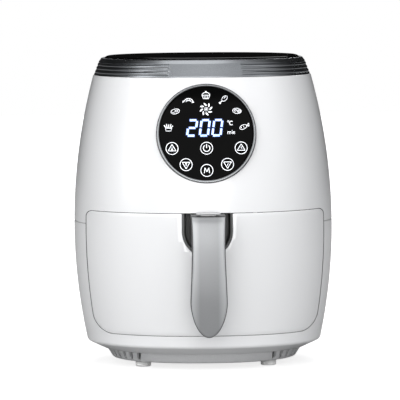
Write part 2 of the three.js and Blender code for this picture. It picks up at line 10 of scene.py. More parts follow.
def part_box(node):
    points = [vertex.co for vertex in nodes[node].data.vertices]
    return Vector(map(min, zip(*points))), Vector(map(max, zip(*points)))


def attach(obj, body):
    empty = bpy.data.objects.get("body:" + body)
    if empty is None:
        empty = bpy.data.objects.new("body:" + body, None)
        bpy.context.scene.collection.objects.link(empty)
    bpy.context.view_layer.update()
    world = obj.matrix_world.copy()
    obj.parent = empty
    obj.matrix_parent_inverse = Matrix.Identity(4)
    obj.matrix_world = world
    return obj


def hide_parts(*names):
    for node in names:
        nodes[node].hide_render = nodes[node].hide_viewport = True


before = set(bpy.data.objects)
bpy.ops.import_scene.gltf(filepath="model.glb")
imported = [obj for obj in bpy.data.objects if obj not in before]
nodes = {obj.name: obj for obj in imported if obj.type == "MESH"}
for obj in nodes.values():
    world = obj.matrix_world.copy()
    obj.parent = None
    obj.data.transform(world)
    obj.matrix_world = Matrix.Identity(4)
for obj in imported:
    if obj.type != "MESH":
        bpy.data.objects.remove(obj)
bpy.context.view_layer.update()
MM = 0.001


# ---- Camera ----
# A long lens at about the height of the fryer's top and a little to the left of its middle,
# so that the body shows hardly any perspective and its lid is seen almost edge on.
camera_data = bpy.data.cameras.new("camera")
camera_data.lens = 391.5
camera_data.sensor_width = 36
camera_data.clip_end = 30
camera = bpy.data.objects.new("camera", camera_data)
bpy.context.scene.collection.objects.link(camera)
bpy.context.scene.camera = camera
CAMERA_DISTANCE = 4.5
CAMERA_AZIMUTH = math.radians(-1.8)
CAMERA_ELEVATION = math.atan(0.062)
CAMERA_ROLL = math.radians(-0.45)
aim = Vector((-0.0029, 0.0, 0.166))
away = Vector((
    math.sin(CAMERA_AZIMUTH) * math.cos(CAMERA_ELEVATION),
    -math.cos(CAMERA_AZIMUTH) * math.cos(CAMERA_ELEVATION),
    math.sin(CAMERA_ELEVATION),
))
turn = (-away).to_track_quat("-Z", "Y").to_matrix() @ Matrix.Rotation(CAMERA_ROLL, 3, "Z")
camera.matrix_world = Matrix.Translation(aim + away * CAMERA_DISTANCE) @ turn.to_4x4()


# ---- Studio ----
# A white table under a sky that is bright in front of the fryer and dark behind it, with soft boxes in front,
# on both sides, above and behind, and one low strip for the base and the feet.
def soft_box(name, place, size, watts):
    light_data = bpy.data.lights.new(name, "AREA")
    light_data.shape = "RECTANGLE"
    light_data.size, light_data.size_y = size
    light_data.energy = watts
    light = bpy.data.objects.new(name, light_data)
    bpy.context.scene.collection.objects.link(light)
    place = Vector(place)
    facing = (Vector((0, 0, 0.16)) - place).to_track_quat("-Z", "Y")
    light.matrix_world = Matrix.Translation(place) @ facing.to_matrix().to_4x4()
    return light


soft_box("front_soft_box", (-0.25, -2.2, 0.75), (1.9, 1.1), 21)
soft_box("left_soft_box", (-1.9, -0.9, 1.0), (0.9, 1.6), 8)
soft_box("right_soft_box", (2.0, -1.0, 1.2), (0.8, 1.4), 1.5)
soft_box("top_soft_box", (-0.2, -0.5, 2.2), (1.5, 1.5), 9)
soft_box("rear_soft_box", (0.4, 2.1, 2.0), (1.4, 1.2), 28)
soft_box("low_fill_box", (0.0, -1.5, 0.12), (0.5, 0.12), 2.0)

bpy.context.scene.view_settings.view_transform = "Standard"
world = bpy.data.worlds.new("studio")
bpy.context.scene.world = world
world.use_nodes = True
sky = world.node_tree
sky_light = sky.nodes["Background"]
sky_place = sky.nodes.new("ShaderNodeTexCoord")
sky_axes = sky.nodes.new("ShaderNodeSeparateXYZ")
sky_fade = sky.nodes.new("ShaderNodeValToRGB")
sky_fade.color_ramp.elements[0].position = 0.0
sky_fade.color_ramp.elements[0].color = (0.95, 0.96, 0.98, 1)
sky_fade.color_ramp.elements[1].position = 0.9
sky_fade.color_ramp.elements[1].color = (0.005, 0.005, 0.005, 1)
for position, grey in ((0.42, 0.74), (0.5, 0.36), (0.64, 0.012)):
    sky_fade.color_ramp.elements.new(position).color = (grey, grey, grey * 1.02, 1)
sky_span = sky.nodes.new("ShaderNodeMapRange")
sky_span.inputs["From Min"].default_value = -1
seen = sky.nodes.new("ShaderNodeLightPath")
sky_mix = sky.nodes.new("ShaderNodeMixRGB")
sky_mix.inputs["Color2"].default_value = (1, 1, 1, 1)
sky.links.new(sky_place.outputs["Generated"], sky_axes.inputs["Vector"])
sky.links.new(sky_axes.outputs["Y"], sky_span.inputs["Value"])
sky.links.new(sky_span.outputs["Result"], sky_fade.inputs["Fac"])
sky.links.new(sky_fade.outputs["Color"], sky_mix.inputs["Color1"])
sky.links.new(seen.outputs["Is Camera Ray"], sky_mix.inputs["Fac"])
sky.links.new(sky_mix.outputs["Color"], sky_light.inputs["Color"])
sky_light.inputs["Strength"].default_value = 1.0


def new_material(name):
    """A new material, its node tree and its Principled shader."""
    material = bpy.data.materials.new(name)
    material.use_nodes = True
    tree = material.node_tree
    return material, tree, tree.nodes["Principled BSDF"]


def new_object(name, mesh, material):
    """The bmesh as an object with that material, in place and facing outwards."""
    data = bpy.data.meshes.new(name)
    mesh.to_mesh(data)
    mesh.free()
    data.materials.append(material)
    piece = bpy.data.objects.new(name, data)
    bpy.context.scene.collection.objects.link(piece)
    return piece


floor_paint, floor_tree, floor_shader = new_material("white_sweep")
floor_shader.inputs["Base Color"].default_value = (0.42, 0.42, 0.42, 1)
floor_shader.inputs["Roughness"].default_value = 0.9
floor_shader.inputs["Emission Color"].default_value = (1, 1, 1, 1)
floor_seen = floor_tree.nodes.new("ShaderNodeLightPath")
floor_place = floor_tree.nodes.new("ShaderNodeTexCoord")
floor_reach = floor_tree.nodes.new("ShaderNodeVectorMath")
floor_reach.operation = "LENGTH"
floor_fade = floor_tree.nodes.new("ShaderNodeMapRange")
floor_fade.inputs["From Min"].default_value = 0.2
floor_fade.inputs["From Max"].default_value = 0.9
floor_fade.inputs["To Min"].default_value = 0.8
floor_fade.inputs["To Max"].default_value = 1.2
floor_glow = floor_tree.nodes.new("ShaderNodeMath")
floor_glow.operation = "MULTIPLY"
floor_tree.links.new(floor_place.outputs["Object"], floor_reach.inputs[0])
floor_tree.links.new(floor_reach.outputs["Value"], floor_fade.inputs["Value"])
floor_tree.links.new(floor_seen.outputs["Is Camera Ray"], floor_glow.inputs[0])
floor_tree.links.new(floor_fade.outputs["Result"], floor_glow.inputs[1])
floor_tree.links.new(floor_glow.outputs["Value"], floor_shader.inputs["Emission Strength"])
sweep = bmesh.new()
bmesh.ops.create_grid(sweep, x_segments=8, y_segments=8, size=6, matrix=Matrix.Translation((0, 0, -0.3 * MM)))
floor = new_object("floor", sweep, floor_paint)


# ---- Upper housing ----
# The upper half of the outer shell: one gloss white ABS moulding, 2.6 mm thick, with an inward lip that
# carries the trim band, a round hole for the display and a notch for the drawer. It stands edge to edge on
# the lower half.
BODY_HALF_WIDTH = 133 * MM
WIDEST_Z = 141 * MM
UPPER_RADIUS, LOWER_RADIUS = 588 * MM, 540 * MM
PLAN_POWER = 2.2
DEPTH_RATIO = 1.05
WALL = 2.6 * MM
SPLIT_Z = 147 * MM
ROUND_STEPS = 160
DRAWER_SHARE = 0.912


def half_width(z):
    """Half the body's width at height z: one arc above the widest level, a tighter one below it."""
    radius = UPPER_RADIUS if z > WIDEST_Z else LOWER_RADIUS
    return BODY_HALF_WIDTH - radius + math.sqrt(radius**2 - (z - WIDEST_Z) ** 2)


def side(low, high, inset=0.0, steps=14):
    """Points of the body's side profile from low to high."""
    heights = [low + (high - low) * i / steps for i in range(steps + 1)]
    return [(half_width(z) - inset, z) for z in heights]


def turned(points, steps=ROUND_STEPS, closed=True):
    """A profile of (radius, height) points spun round the vertical."""
    mesh = bmesh.new()
    chain = [mesh.verts.new((r, 0, z)) for r, z in points]
    pairs = list(zip(chain, chain[1:])) + ([(chain[-1], chain[0])] if closed else [])
    for pair in pairs:
        mesh.edges.new(pair)
    bmesh.ops.spin(
        mesh, geom=mesh.verts[:] + mesh.edges[:], cent=(0, 0, 0), axis=(0, 0, 1),
        angle=2 * math.pi, steps=steps, use_merge=True, use_duplicate=False,
    )
    bmesh.ops.remove_doubles(mesh, verts=mesh.verts, dist=1e-6)
    bmesh.ops.recalc_face_normals(mesh, faces=mesh.faces)
    return mesh


def squared(mesh, power=PLAN_POWER, ratio=DEPTH_RATIO, middle_y=0.0):
    """Moves a turned mesh's round plan to the body's squarer and deeper one."""
    for vert in mesh.verts:
        radius = math.hypot(vert.co.x, vert.co.y)
        if radius < 1e-7:
            vert.co.y = middle_y
            continue
        cosine, sine = vert.co.x / radius, vert.co.y / radius
        reach = (abs(cosine) ** power + abs(sine) ** power) ** (-1 / power)
        vert.co.x = cosine * reach * radius
        vert.co.y = sine * reach * radius * ratio + middle_y
    return mesh


def smooth(piece, angle=35):
    """Smooth shading, kept sharp where faces meet at more than that many degrees."""
    piece.data.shade_smooth()
    piece.data.set_sharp_from_angle(angle=math.radians(angle))


def applied(piece):
    """Keeps what the piece's modifiers make as its own mesh."""
    bpy.context.view_layer.update()
    made = bpy.data.meshes.new_from_object(piece.evaluated_get(bpy.context.evaluated_depsgraph_get()))
    piece.modifiers.clear()
    piece.data = made


def carve(piece, cutter, operation="DIFFERENCE"):
    """Cuts piece with the cutter's bmesh and keeps the result in piece's own mesh."""
    tool = new_object("cutter", cutter, piece.data.materials[0])
    boolean = piece.modifiers.new("cut", "BOOLEAN")
    boolean.operation = operation
    boolean.solver = "EXACT"
    boolean.object = tool
    applied(piece)
    bpy.data.objects.remove(tool)


def rounded_outline(half, low, high, low_radius, high_radius, segments=10):
    """A flat rounded rectangle in X and Z, as a bmesh with one face at y = 0."""
    mesh = bmesh.new()
    places = (-half, 0, low), (half, 0, low), (half, 0, high), (-half, 0, high)
    corners = [mesh.verts.new(place) for place in places]
    mesh.faces.new(corners)
    for pair, radius in ((corners[:2], low_radius), (corners[2:], high_radius)):
        bmesh.ops.bevel(
            mesh, geom=pair, offset=radius, segments=segments, profile=0.5, affect="VERTICES", material=-1,
        )
    return mesh


def extruded(mesh, near, far):
    """The flat faces of a bmesh at y = 0, carried from y = near to y = far as a closed block."""
    bmesh.ops.translate(mesh, verts=mesh.verts, vec=(0, near, 0))
    made = bmesh.ops.extrude_face_region(mesh, geom=mesh.faces[:])
    lifted = [item for item in made["geom"] if isinstance(item, bmesh.types.BMVert)]
    bmesh.ops.translate(mesh, verts=lifted, vec=(0, far - near, 0))
    bmesh.ops.recalc_face_normals(mesh, faces=mesh.faces)
    return mesh


def drum(radius, depth, segments, matrix):
    """A closed cylinder, sized about its own middle and then placed."""
    mesh = bmesh.new()
    bmesh.ops.create_cone(
        mesh, cap_ends=True, segments=segments, radius1=radius, radius2=radius, depth=depth, matrix=matrix,
    )
    return mesh


DRAWER_LOW, DRAWER_HIGH = 36.5 * MM, 161 * MM
DRAWER_LOW_RADIUS, DRAWER_HIGH_RADIUS = 18 * MM, 6 * MM


def drawer_block(grow):
    """The drawer front's outline as a block: a rounded rectangle whose sides follow the body's."""
    outline = rounded_outline(
        BODY_HALF_WIDTH * DRAWER_SHARE + grow, DRAWER_LOW - grow, DRAWER_HIGH + grow,
        DRAWER_LOW_RADIUS + grow, DRAWER_HIGH_RADIUS + grow,
    )
    upright = [e for e in outline.edges if abs(e.verts[0].co.z - e.verts[1].co.z) > 30 * MM]
    bmesh.ops.subdivide_edges(outline, edges=upright, cuts=11)
    for vert in outline.verts:
        vert.co.x *= half_width(vert.co.z) / BODY_HALF_WIDTH
    return extruded(outline, -200 * MM, -46 * MM)


DISPLAY_Z = 241 * MM
DISPLAY_TILT = math.asin(DEPTH_RATIO * (DISPLAY_Z - WIDEST_Z) / UPPER_RADIUS)
DISPLAY_PLACE = Matrix.Translation((0, -half_width(DISPLAY_Z) * DEPTH_RATIO + 1.2 * MM, DISPLAY_Z))
DISPLAY_FRAME = DISPLAY_PLACE @ Matrix.Rotation(math.pi / 2 - DISPLAY_TILT, 4, "X")
BEZEL_RADIUS = 50.2 * MM


def pattern(tree, kind, scale, output="Fac", **settings):
    """A texture of that kind laid on the piece's own coordinates: the socket that it comes out of."""
    texture = tree.nodes.new(f"ShaderNodeTex{kind}")
    for setting, value in {"Scale": scale, **settings}.items():
        texture.inputs[setting].default_value = value
    place = tree.nodes.new("ShaderNodeTexCoord")
    tree.links.new(place.outputs["Object"], texture.inputs["Vector"])
    return texture.outputs[output]


def shades(tree, shader, source, low, dark, high, light):
    """Base colour that goes from dark to light as the source goes from low to high."""
    ramp = tree.nodes.new("ShaderNodeValToRGB")
    for stop, place, colour in zip(ramp.color_ramp.elements, (low, high), (dark, light)):
        stop.position = place
        stop.color = (*colour, 1)
    tree.links.new(source, ramp.inputs["Fac"])
    tree.links.new(ramp.outputs["Color"], shader.inputs["Base Color"])
    return ramp.outputs["Color"]


def uneven_gloss(tree, shader, source, low, high):
    """Roughness between low and high that follows the source."""
    gloss = tree.nodes.new("ShaderNodeMapRange")
    gloss.inputs["To Min"].default_value = low
    gloss.inputs["To Max"].default_value = high
    tree.links.new(source, gloss.inputs["Value"])
    tree.links.new(gloss.outputs["Result"], shader.inputs["Roughness"])


def relief(tree, shader, source, strength, depth):
    """Fine bumps that follow the source."""
    bump = tree.nodes.new("ShaderNodeBump")
    bump.inputs["Strength"].default_value = strength
    bump.inputs["Distance"].default_value = depth
    tree.links.new(source, bump.inputs["Height"])
    tree.links.new(bump.outputs["Normal"], shader.inputs["Normal"])


def darker(tint, share):
    """The colour at that share of its strength."""
    return [c * share for c in tint]


def gloss_white(name, tint):
    """Polished white ABS: faint moulding ripple, and roughness that varies slightly as handling leaves it."""
    material, tree, shader = new_material(name)
    cloud = pattern(tree, "Noise", 9, Detail=4)
    shades(tree, shader, cloud, 0.3, darker(tint, 0.985), 0.7, tint)
    uneven_gloss(tree, shader, cloud, 0.2, 0.27)
    relief(tree, shader, pattern(tree, "Noise", 260, Detail=2), 0.02, 0.0005)
    shader.inputs["Coat Weight"].default_value = 0.3
    shader.inputs["Coat Roughness"].default_value = 0.08
    return material


body_white = gloss_white("body_gloss_white", (0.80, 0.805, 0.81))
BAND_Z = 296.5 * MM
LIP = 7 * MM
SEAM = 0.15 * MM
EDGE = 0.7 * MM
upper_profile = [
    (half_width(SPLIT_Z) - EDGE, SPLIT_Z + SEAM),
    *side(SPLIT_Z + SEAM + EDGE, BAND_Z - EDGE),
    (half_width(BAND_Z) - EDGE, BAND_Z),
    (half_width(BAND_Z) - LIP, BAND_Z),
    (half_width(BAND_Z) - LIP, BAND_Z - WALL),
    *side(SPLIT_Z + SEAM, BAND_Z - WALL, WALL)[::-1],
]
upper_housing = new_object("upper_housing_shell", squared(turned(upper_profile)), body_white)
carve(upper_housing, drawer_block(0.35 * MM))
carve(upper_housing, drum(BEZEL_RADIUS + 0.3 * MM, 60 * MM, 96, DISPLAY_FRAME))
GRILLE_HALF, GRILLE_LOW, GRILLE_HIGH, GRILLE_CORNER = 46 * MM, 188 * MM, 236 * MM, 8 * MM
grille_cutter = rounded_outline(
    GRILLE_HALF + 0.3 * MM, GRILLE_LOW - 0.3 * MM, GRILLE_HIGH + 0.3 * MM, GRILLE_CORNER, GRILLE_CORNER,
)
carve(upper_housing, extruded(grille_cutter, 90 * MM, 170 * MM))
smooth(upper_housing)
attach(upper_housing, "housing")
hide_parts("upper_housing")


# ---- Lower housing ----
# The lower half of the shell, moulded in the same gloss white. Its lower edge rolls under and ends in a
# sloping skirt, the drawer opening is cut out of its front, and the mains cord's gland sits in its rear.
SKIRT_Z = 16.4 * MM
SKIRT_TOP_Z = 27 * MM
SKIRT_RADIUS = 4.4 * MM
SKIRT_SLOPE = math.radians(25)


def skirt(inset=0.0, steps=8):
    """The rolled lower edge, from its underside up to where the side begins."""
    middle_x, middle_z = half_width(SKIRT_TOP_Z) - SKIRT_RADIUS, SKIRT_TOP_Z
    radius = SKIRT_RADIUS - inset
    arc = []
    for i in range(steps):
        angle = (SKIRT_SLOPE - math.pi / 2) * (1 - i / steps)
        arc.append((middle_x + radius * math.cos(angle), middle_z + radius * math.sin(angle)))
    x, z = arc[0]
    return [(x - (z - SKIRT_Z - inset) / math.tan(SKIRT_SLOPE), SKIRT_Z + inset), *arc]


lower_profile = [
    *skirt(),
    *side(SKIRT_TOP_Z, SPLIT_Z - SEAM - EDGE),
    (half_width(SPLIT_Z) - EDGE, SPLIT_Z - SEAM),
    *side(SKIRT_TOP_Z, SPLIT_Z - SEAM, WALL)[::-1],
    *skirt(WALL)[::-1],
]
lower_housing = new_object("lower_housing_shell", squared(turned(lower_profile)), body_white)
carve(lower_housing, drawer_block(0.35 * MM))
gland_low, gland_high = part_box("cord_gland")
gland_place = Matrix.Translation((gland_low + gland_high) / 2) @ Matrix.Rotation(math.pi / 2, 4, "X")
carve(lower_housing, drum(6.3 * MM, 60 * MM, 32, gland_place))
smooth(lower_housing)
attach(lower_housing, "housing")
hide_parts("lower_housing")


# ---- Base cover ----
# The light grey moulding that closes the body from below, held by four screws. Its sloping side carries a
# fan of slanted vent slots at each corner, and slots in its floor let cooling air in.
VENTS = 7
FIRST_VENT, VENT_STEP, VENT_LEAN = 41, 6.2, 32


def soft_grey(name, tint, grain, roughness=0.42):
    """Satin grey moulding with a fine spark-eroded texture, coloured slightly darker in its low spots."""
    material, tree, shader = new_material(name)
    texture = pattern(tree, "Noise", grain, Detail=3)
    shades(tree, shader, texture, 0.25, darker(tint, 0.9), 0.75, tint)
    relief(tree, shader, texture, 0.12, 0.0001)
    shader.inputs["Roughness"].default_value = roughness
    return material


def in_mm(points):
    """Profile points given in millimetres, in metres."""
    return [(r * MM, z * MM) for r, z in points]


base_grey = soft_grey("base_light_grey", (0.60, 0.605, 0.61), 900)
base_profile = in_mm([
    (0, 6), (93.2, 6), (94.3, 6.3), (95.2, 7.1), (97, 10), (98.8, 12.8), (100.6, 15.2), (101.4, 17),
    (101.4, 19.5), (113, 24.8), (113, 26.6), (98.9, 20), (98.9, 17.4), (94.4, 11.2), (92.4, 8.6), (0, 8.6),
])
base_cover = new_object("base_cover_tray", squared(turned(base_profile, 144, closed=False)), base_grey)


def block(size_x, size_y, size_z, matrix):
    """A rectangular cutter or blank, sized about its own middle and then placed."""
    mesh = bmesh.new()
    scaled = matrix @ Matrix.Diagonal((size_x, size_y, size_z, 1))
    bmesh.ops.create_cube(mesh, size=1, matrix=scaled)
    return mesh


def joined(meshes):
    """Several bmeshes as one."""
    whole = bmesh.new()
    for mesh in meshes:
        part = bpy.data.meshes.new("part")
        mesh.to_mesh(part)
        mesh.free()
        whole.from_mesh(part)
        bpy.data.meshes.remove(part)
    return whole


slots = []
for x_side in (-1, 1):
    for y_side in (0, 180):
        for i in range(VENTS):
            around = Matrix.Rotation(math.radians(y_side + x_side * (FIRST_VENT + VENT_STEP * i)), 4, "Z")
            lean = Matrix.Rotation(math.radians(-x_side * VENT_LEAN), 4, "Y")
            place = around @ Matrix.Translation((0, -98 * MM, 13.4 * MM)) @ lean
            slots.append(block(4.4 * MM, 22 * MM, 11 * MM, place))
for i in range(8):
    around = Matrix.Rotation(math.radians(45 * (i + 0.5)), 4, "Z")
    slots.append(block(5 * MM, 22 * MM, 12 * MM, around @ Matrix.Translation((0, 33 * MM, 6 * MM))))
carve(base_cover, joined(slots))
screw_names = [name for name in nodes if name.startswith("base_screw")]
wells = []
for name in screw_names:
    low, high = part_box(name)
    place = Matrix.Translation(((low.x + high.x) / 2, (low.y + high.y) / 2, 8 * MM))
    wells.append(drum(2.3 * MM, 20 * MM, 24, place))
carve(base_cover, joined(wells))
smooth(base_cover)
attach(base_cover, "housing")
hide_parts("base_cover")


# ---- Feet ----
# Four soft pale rubber feet, pushed into the base.
# Each is a stepped disc with a rounded tread and a groove round its rim.
foot_rubber = soft_grey("foot_pale_rubber", (0.9, 0.9, 0.89), 1400, roughness=0.75)
for name in [name for name in nodes if name.startswith("foot_")]:
    low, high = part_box(name)
    foot_profile = in_mm([
        (0, 0), (6.2, 0), (7.2, 0.3), (7.8, 1.1), (8, 2), (7.6, 2.6), (8, 3.2), (8, 5.2), (7.6, 5.7),
        (0, 5.7),
    ])
    foot = turned(foot_profile, 40, closed=False)
    bmesh.ops.translate(foot, verts=foot.verts, vec=((low.x + high.x) / 2, (low.y + high.y) / 2, 0))
    foot_piece = new_object(f"{name}_pad", foot, foot_rubber)
    smooth(foot_piece)
    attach(foot_piece, "housing")
    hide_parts(name)


# ---- Trim band ----
# A silver-grey coated ring round the top. Its front has a smooth centre panel, and three raised ribs run
# round from each side of the panel to the rear. It clips over the upper housing's lip.
BAND_TOP = 314 * MM
band_foot = half_width(BAND_Z) - 0.8 * MM
BAND_STEPS = 600
PANEL_HALF_ANGLE = math.radians(19.5)


def trim_silver(name, tint):
    """Metallic coating: fine flake sparkle over a cool grey, a little rougher where it has been wiped."""
    material, tree, shader = new_material(name)
    shades(tree, shader, pattern(tree, "Noise", 2600), 0.35, darker(tint, 0.78), 0.65, tint)
    uneven_gloss(tree, shader, pattern(tree, "Noise", 14), 0.22, 0.34)
    shader.inputs["Metallic"].default_value = 1.0
    return material


silver = trim_silver("trim_coated_silver", (0.32, 0.335, 0.35))
BAND_LOW = BAND_Z + 0.3 * MM
band_outside = [
    (band_foot, BAND_LOW), (band_foot - 0.1 * MM, BAND_LOW + 0.6 * MM), (band_foot - 3.6 * MM, 307 * MM),
    (band_foot - 5.1 * MM, 310.4 * MM), (104.5 * MM, 312.6 * MM), (103.6 * MM, 313.6 * MM),
]
RIB_PITCH, RIB_DEPTH = 3.7 * MM, 0.7 * MM
RIBS_LOW, RIBS_HIGH = 298.6 * MM, 298.6 * MM + 3 * RIB_PITCH


def band_radius(z):
    """Outside radius of the smooth band at height z."""
    for (low_r, low_z), (high_r, high_z) in zip(band_outside, band_outside[1:]):
        if z <= high_z:
            return low_r + (high_r - low_r) * (z - low_z) / (high_z - low_z)
    return band_outside[-1][0]


def groove(z):
    """How deep the ribbed part lies below the smooth surface at height z: RIB_DEPTH between two ribs."""
    if not RIBS_LOW <= z <= RIBS_HIGH:
        return 0.0
    return RIB_DEPTH * abs(math.cos(math.pi * (z - RIBS_LOW) / RIB_PITCH)) ** 3


band_heights = [BAND_LOW + (312.6 * MM - BAND_LOW) * i / 40 for i in range(41)]
band_profile = [
    *[(band_radius(z), z) for z in band_heights],
    (104 * MM, 313.4 * MM), (103.2 * MM, BAND_TOP), (100.9 * MM, BAND_TOP), (100.5 * MM, 313.6 * MM),
    (100.5 * MM, 309 * MM), (band_foot - 6.3 * MM, 305.5 * MM), (band_foot - 5.4 * MM, BAND_LOW),
]
band = turned(band_profile, BAND_STEPS)
for vert in band.verts:
    z = vert.co.z
    radius = math.hypot(vert.co.x, vert.co.y)
    from_front = abs(math.atan2(vert.co.x, -vert.co.y))
    if radius > band_radius(z) - 0.05 * MM and from_front > PANEL_HALF_ANGLE:
        share = (radius - groove(z)) / radius
        vert.co.x *= share
        vert.co.y *= share
top_band = new_object("top_band_ribbed", squared(band), silver)
smooth(top_band, 30)
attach(top_band, "housing")
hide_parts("top_band")


# ---- Top cover ----
# The polished black lid of the housing. A rounded rim stands just above the silver band, and the middle is
# slightly crowned. It snaps into the band and doesn't open.
def polished_black(name, dust):
    """Polished black plastic with a thin film of dust and fine wiping marks in its gloss."""
    material, tree, shader = new_material(name)
    film = pattern(tree, "Noise", 22, Detail=6)
    shades(tree, shader, film, 0.35, (0.0012, 0.0012, 0.0012), 0.8, (dust, dust, dust))
    uneven_gloss(tree, shader, film, 0.05, 0.12)
    shader.inputs["Specular IOR Level"].default_value = 0.02
    return material


cover_black = polished_black("cover_polished_black", 0.0035)
cover_profile = in_mm([
    (0, 312), (95.5, 312), (95.5, 308), (100.2, 308), (100.2, 313.4), (99.8, 314.5), (98.8, 315.5),
    (97.2, 316), (95.4, 315.9), (93, 315.5), (90, 315.2), (70, 315.3), (40, 315.5), (0, 315.6),
])
top_cover = new_object("top_cover_polished", squared(turned(cover_profile, 192, closed=False)), cover_black)
smooth(top_cover, 30)
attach(top_cover, "housing")
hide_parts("top_cover")


# ---- Display bezel ----
# A turned ring with a satin silver coating, pressed into the hole in the upper housing.
# Its flat front face lies between two small chamfers and holds the lens.
bezel_profile = in_mm([
    (47.4, -14), (50.2, -14), (50.2, 0.2), (49.8, 0.65), (49.3, 0.8), (48.4, 0.8), (47.7, 0.3),
    (47.4, -0.4),
])
bezel = turned(bezel_profile, 144)
bmesh.ops.transform(bezel, matrix=DISPLAY_FRAME, verts=bezel.verts)
bezel_silver = trim_silver("bezel_satin_silver", (0.17, 0.175, 0.18))
display_bezel = new_object("display_bezel_ring", bezel, bezel_silver)
smooth(display_bezel, 30)
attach(display_bezel, "housing")
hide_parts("display_bezel")


# ---- Touch lens ----
# The smoked plastic disc over the display, with touch keys behind it.
# It is polished, has an eased rim, and is glued into the bezel.
LENS_FRONT = -0.2
lens_profile = in_mm([
    (0, -3), (47.1, -3), (47.1, -0.7), (46.8, -0.3), (46.3, LENS_FRONT), (0, LENS_FRONT),
])
lens = turned(lens_profile, 144, closed=False)
bmesh.ops.transform(lens, matrix=DISPLAY_FRAME, verts=lens.verts)
display_lens = new_object("display_touch_lens", lens, polished_black("lens_smoked", 0.002))
smooth(display_lens, 30)
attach(display_lens, "housing")
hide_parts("display_lens")


# ---- Lit symbols ----
# Printed windows in the lens, lit from behind: touch keys in rings, food pictograms on an arc, a fan and
# units. Each is a flat film on the lens, drawn in millimetres from the middle of the display.
FILM = 0.1
FILM_FRAME = DISPLAY_FRAME @ Matrix.Scale(MM, 4) @ Matrix.Translation((0, 0, LENS_FRONT + 0.02))


def bar(start, end, width):
    """A straight stroke with square ends."""
    start, end = Vector((*start, 0)), Vector((*end, 0))
    along = end - start
    angle = math.atan2(along.y, along.x)
    place = Matrix.Translation((start + end) / 2 + Vector((0, 0, FILM / 2))) @ Matrix.Rotation(angle, 4, "Z")
    return block(along.length, width, FILM, place)


def strokes(points, width):
    """Straight strokes through the points."""
    return [bar(a, b, width) for a, b in zip(points, points[1:])]


def blob(middle, long_radius, short_radius, degrees=0, segments=20):
    """A filled ellipse."""
    place = Matrix.Translation((*middle, FILM / 2)) @ Matrix.Rotation(math.radians(degrees), 4, "Z")
    return drum(1, FILM, segments, place @ Matrix.Diagonal((long_radius, short_radius, 1, 1)))


def arc(middle, radius, width, start, end, steps=16):
    """A curved stroke from one angle to another, in degrees."""
    angles = [math.radians(start + (end - start) * i / steps) for i in range(steps + 1)]
    points = [(middle[0] + radius * math.cos(a), middle[1] + radius * math.sin(a)) for a in angles]
    return strokes(points, width)


def key(middle):
    """The ring round a touch key."""
    mesh = turned([(5.75, 0), (6.4, 0), (6.4, FILM), (5.75, FILM)], 48)
    bmesh.ops.translate(mesh, verts=mesh.verts, vec=(*middle, 0))
    return mesh


def triangle(middle, size, way, width=0.65):
    """An outlined triangle that points up (way 1) or down (way -1)."""
    x, y = middle
    base, tip = y - 0.62 * size * way, y + 1.05 * size * way
    return strokes([(x - size, base), (x + size, base), (x, tip), (x - size, base)], width)


KEY_ROW_Y, KEY_SIDE_X = -15, 34.7
LOW_KEY_X, LOW_KEY_Y, MODE_KEY_Y = 20.8, -31.5, -37.5
symbols = [key(middle) for middle in (
    (-KEY_SIDE_X, KEY_ROW_Y), (0, KEY_ROW_Y), (KEY_SIDE_X, KEY_ROW_Y), (-LOW_KEY_X, LOW_KEY_Y),
    (0, MODE_KEY_Y), (LOW_KEY_X, LOW_KEY_Y),
)]
for x in (-KEY_SIDE_X, KEY_SIDE_X):
    symbols += triangle((x, KEY_ROW_Y), 3.9, 1)
for x in (-LOW_KEY_X, LOW_KEY_X):
    symbols += triangle((x, LOW_KEY_Y), 3.9, -1)
for x, y, way in ((-KEY_SIDE_X, KEY_ROW_Y, 1), (-LOW_KEY_X, LOW_KEY_Y, -1)):
    symbols += [bar((x, y - 1.3 * way), (x, y + 1.3 * way), 0.7), blob((x, y - 1.3 * way), 1.0, 1.0)]
for x, y, way in ((KEY_SIDE_X, KEY_ROW_Y, 1), (LOW_KEY_X, LOW_KEY_Y, -1)):
    symbols += [bar((x, y), (x, y + 1.4 * way), 0.6), bar((x - 0.1, y), (x + 1.2, y - 0.6 * way), 0.6)]
symbols += arc((0, KEY_ROW_Y), 3.3, 0.8, 125, 415) + [bar((0, KEY_ROW_Y + 0.2), (0, KEY_ROW_Y + 4.1), 0.9)]
symbols += strokes([(-2.6, MODE_KEY_Y - 2.7), (-2.0, MODE_KEY_Y + 2.7), (0, MODE_KEY_Y - 1.4)], 0.62)
symbols += strokes([(2.6, MODE_KEY_Y - 2.7), (2.0, MODE_KEY_Y + 2.7), (0, MODE_KEY_Y - 1.4)], 0.62)

FAN_Y = 24.5
for i in range(8):
    angle = math.radians(45 * i + 10)
    middle = (4.9 * math.cos(angle), FAN_Y + 4.9 * math.sin(angle))
    symbols.append(blob(middle, 2.0, 0.8, math.degrees(angle) + 35, 16))
symbols += [blob((0, FAN_Y), 0.9, 0.9), *arc((0, FAN_Y), 1.9, 0.35, 0, 360, 16)]

UNIT_X = 24.4
symbols += arc((UNIT_X - 2.3, 12), 0.8, 0.45, 0, 360, 12) + arc((UNIT_X + 0.9, 10.2), 1.9, 0.75, 50, 310)
for x in (UNIT_X - 3, UNIT_X - 1.4, UNIT_X + 0.2, UNIT_X + 1.5, UNIT_X + 2.6, UNIT_X + 4):
    symbols.append(bar((x, -0.8), (x, 1.6), 0.55))
for low_x, high_x in ((-3, 0.2), (2.6, 4)):
    symbols.append(bar((UNIT_X + low_x, 1.5), (UNIT_X + high_x, 1.5), 0.55))
symbols.append(blob((UNIT_X + 1.5, 2.6), 0.4, 0.4))

PEN = 0.5


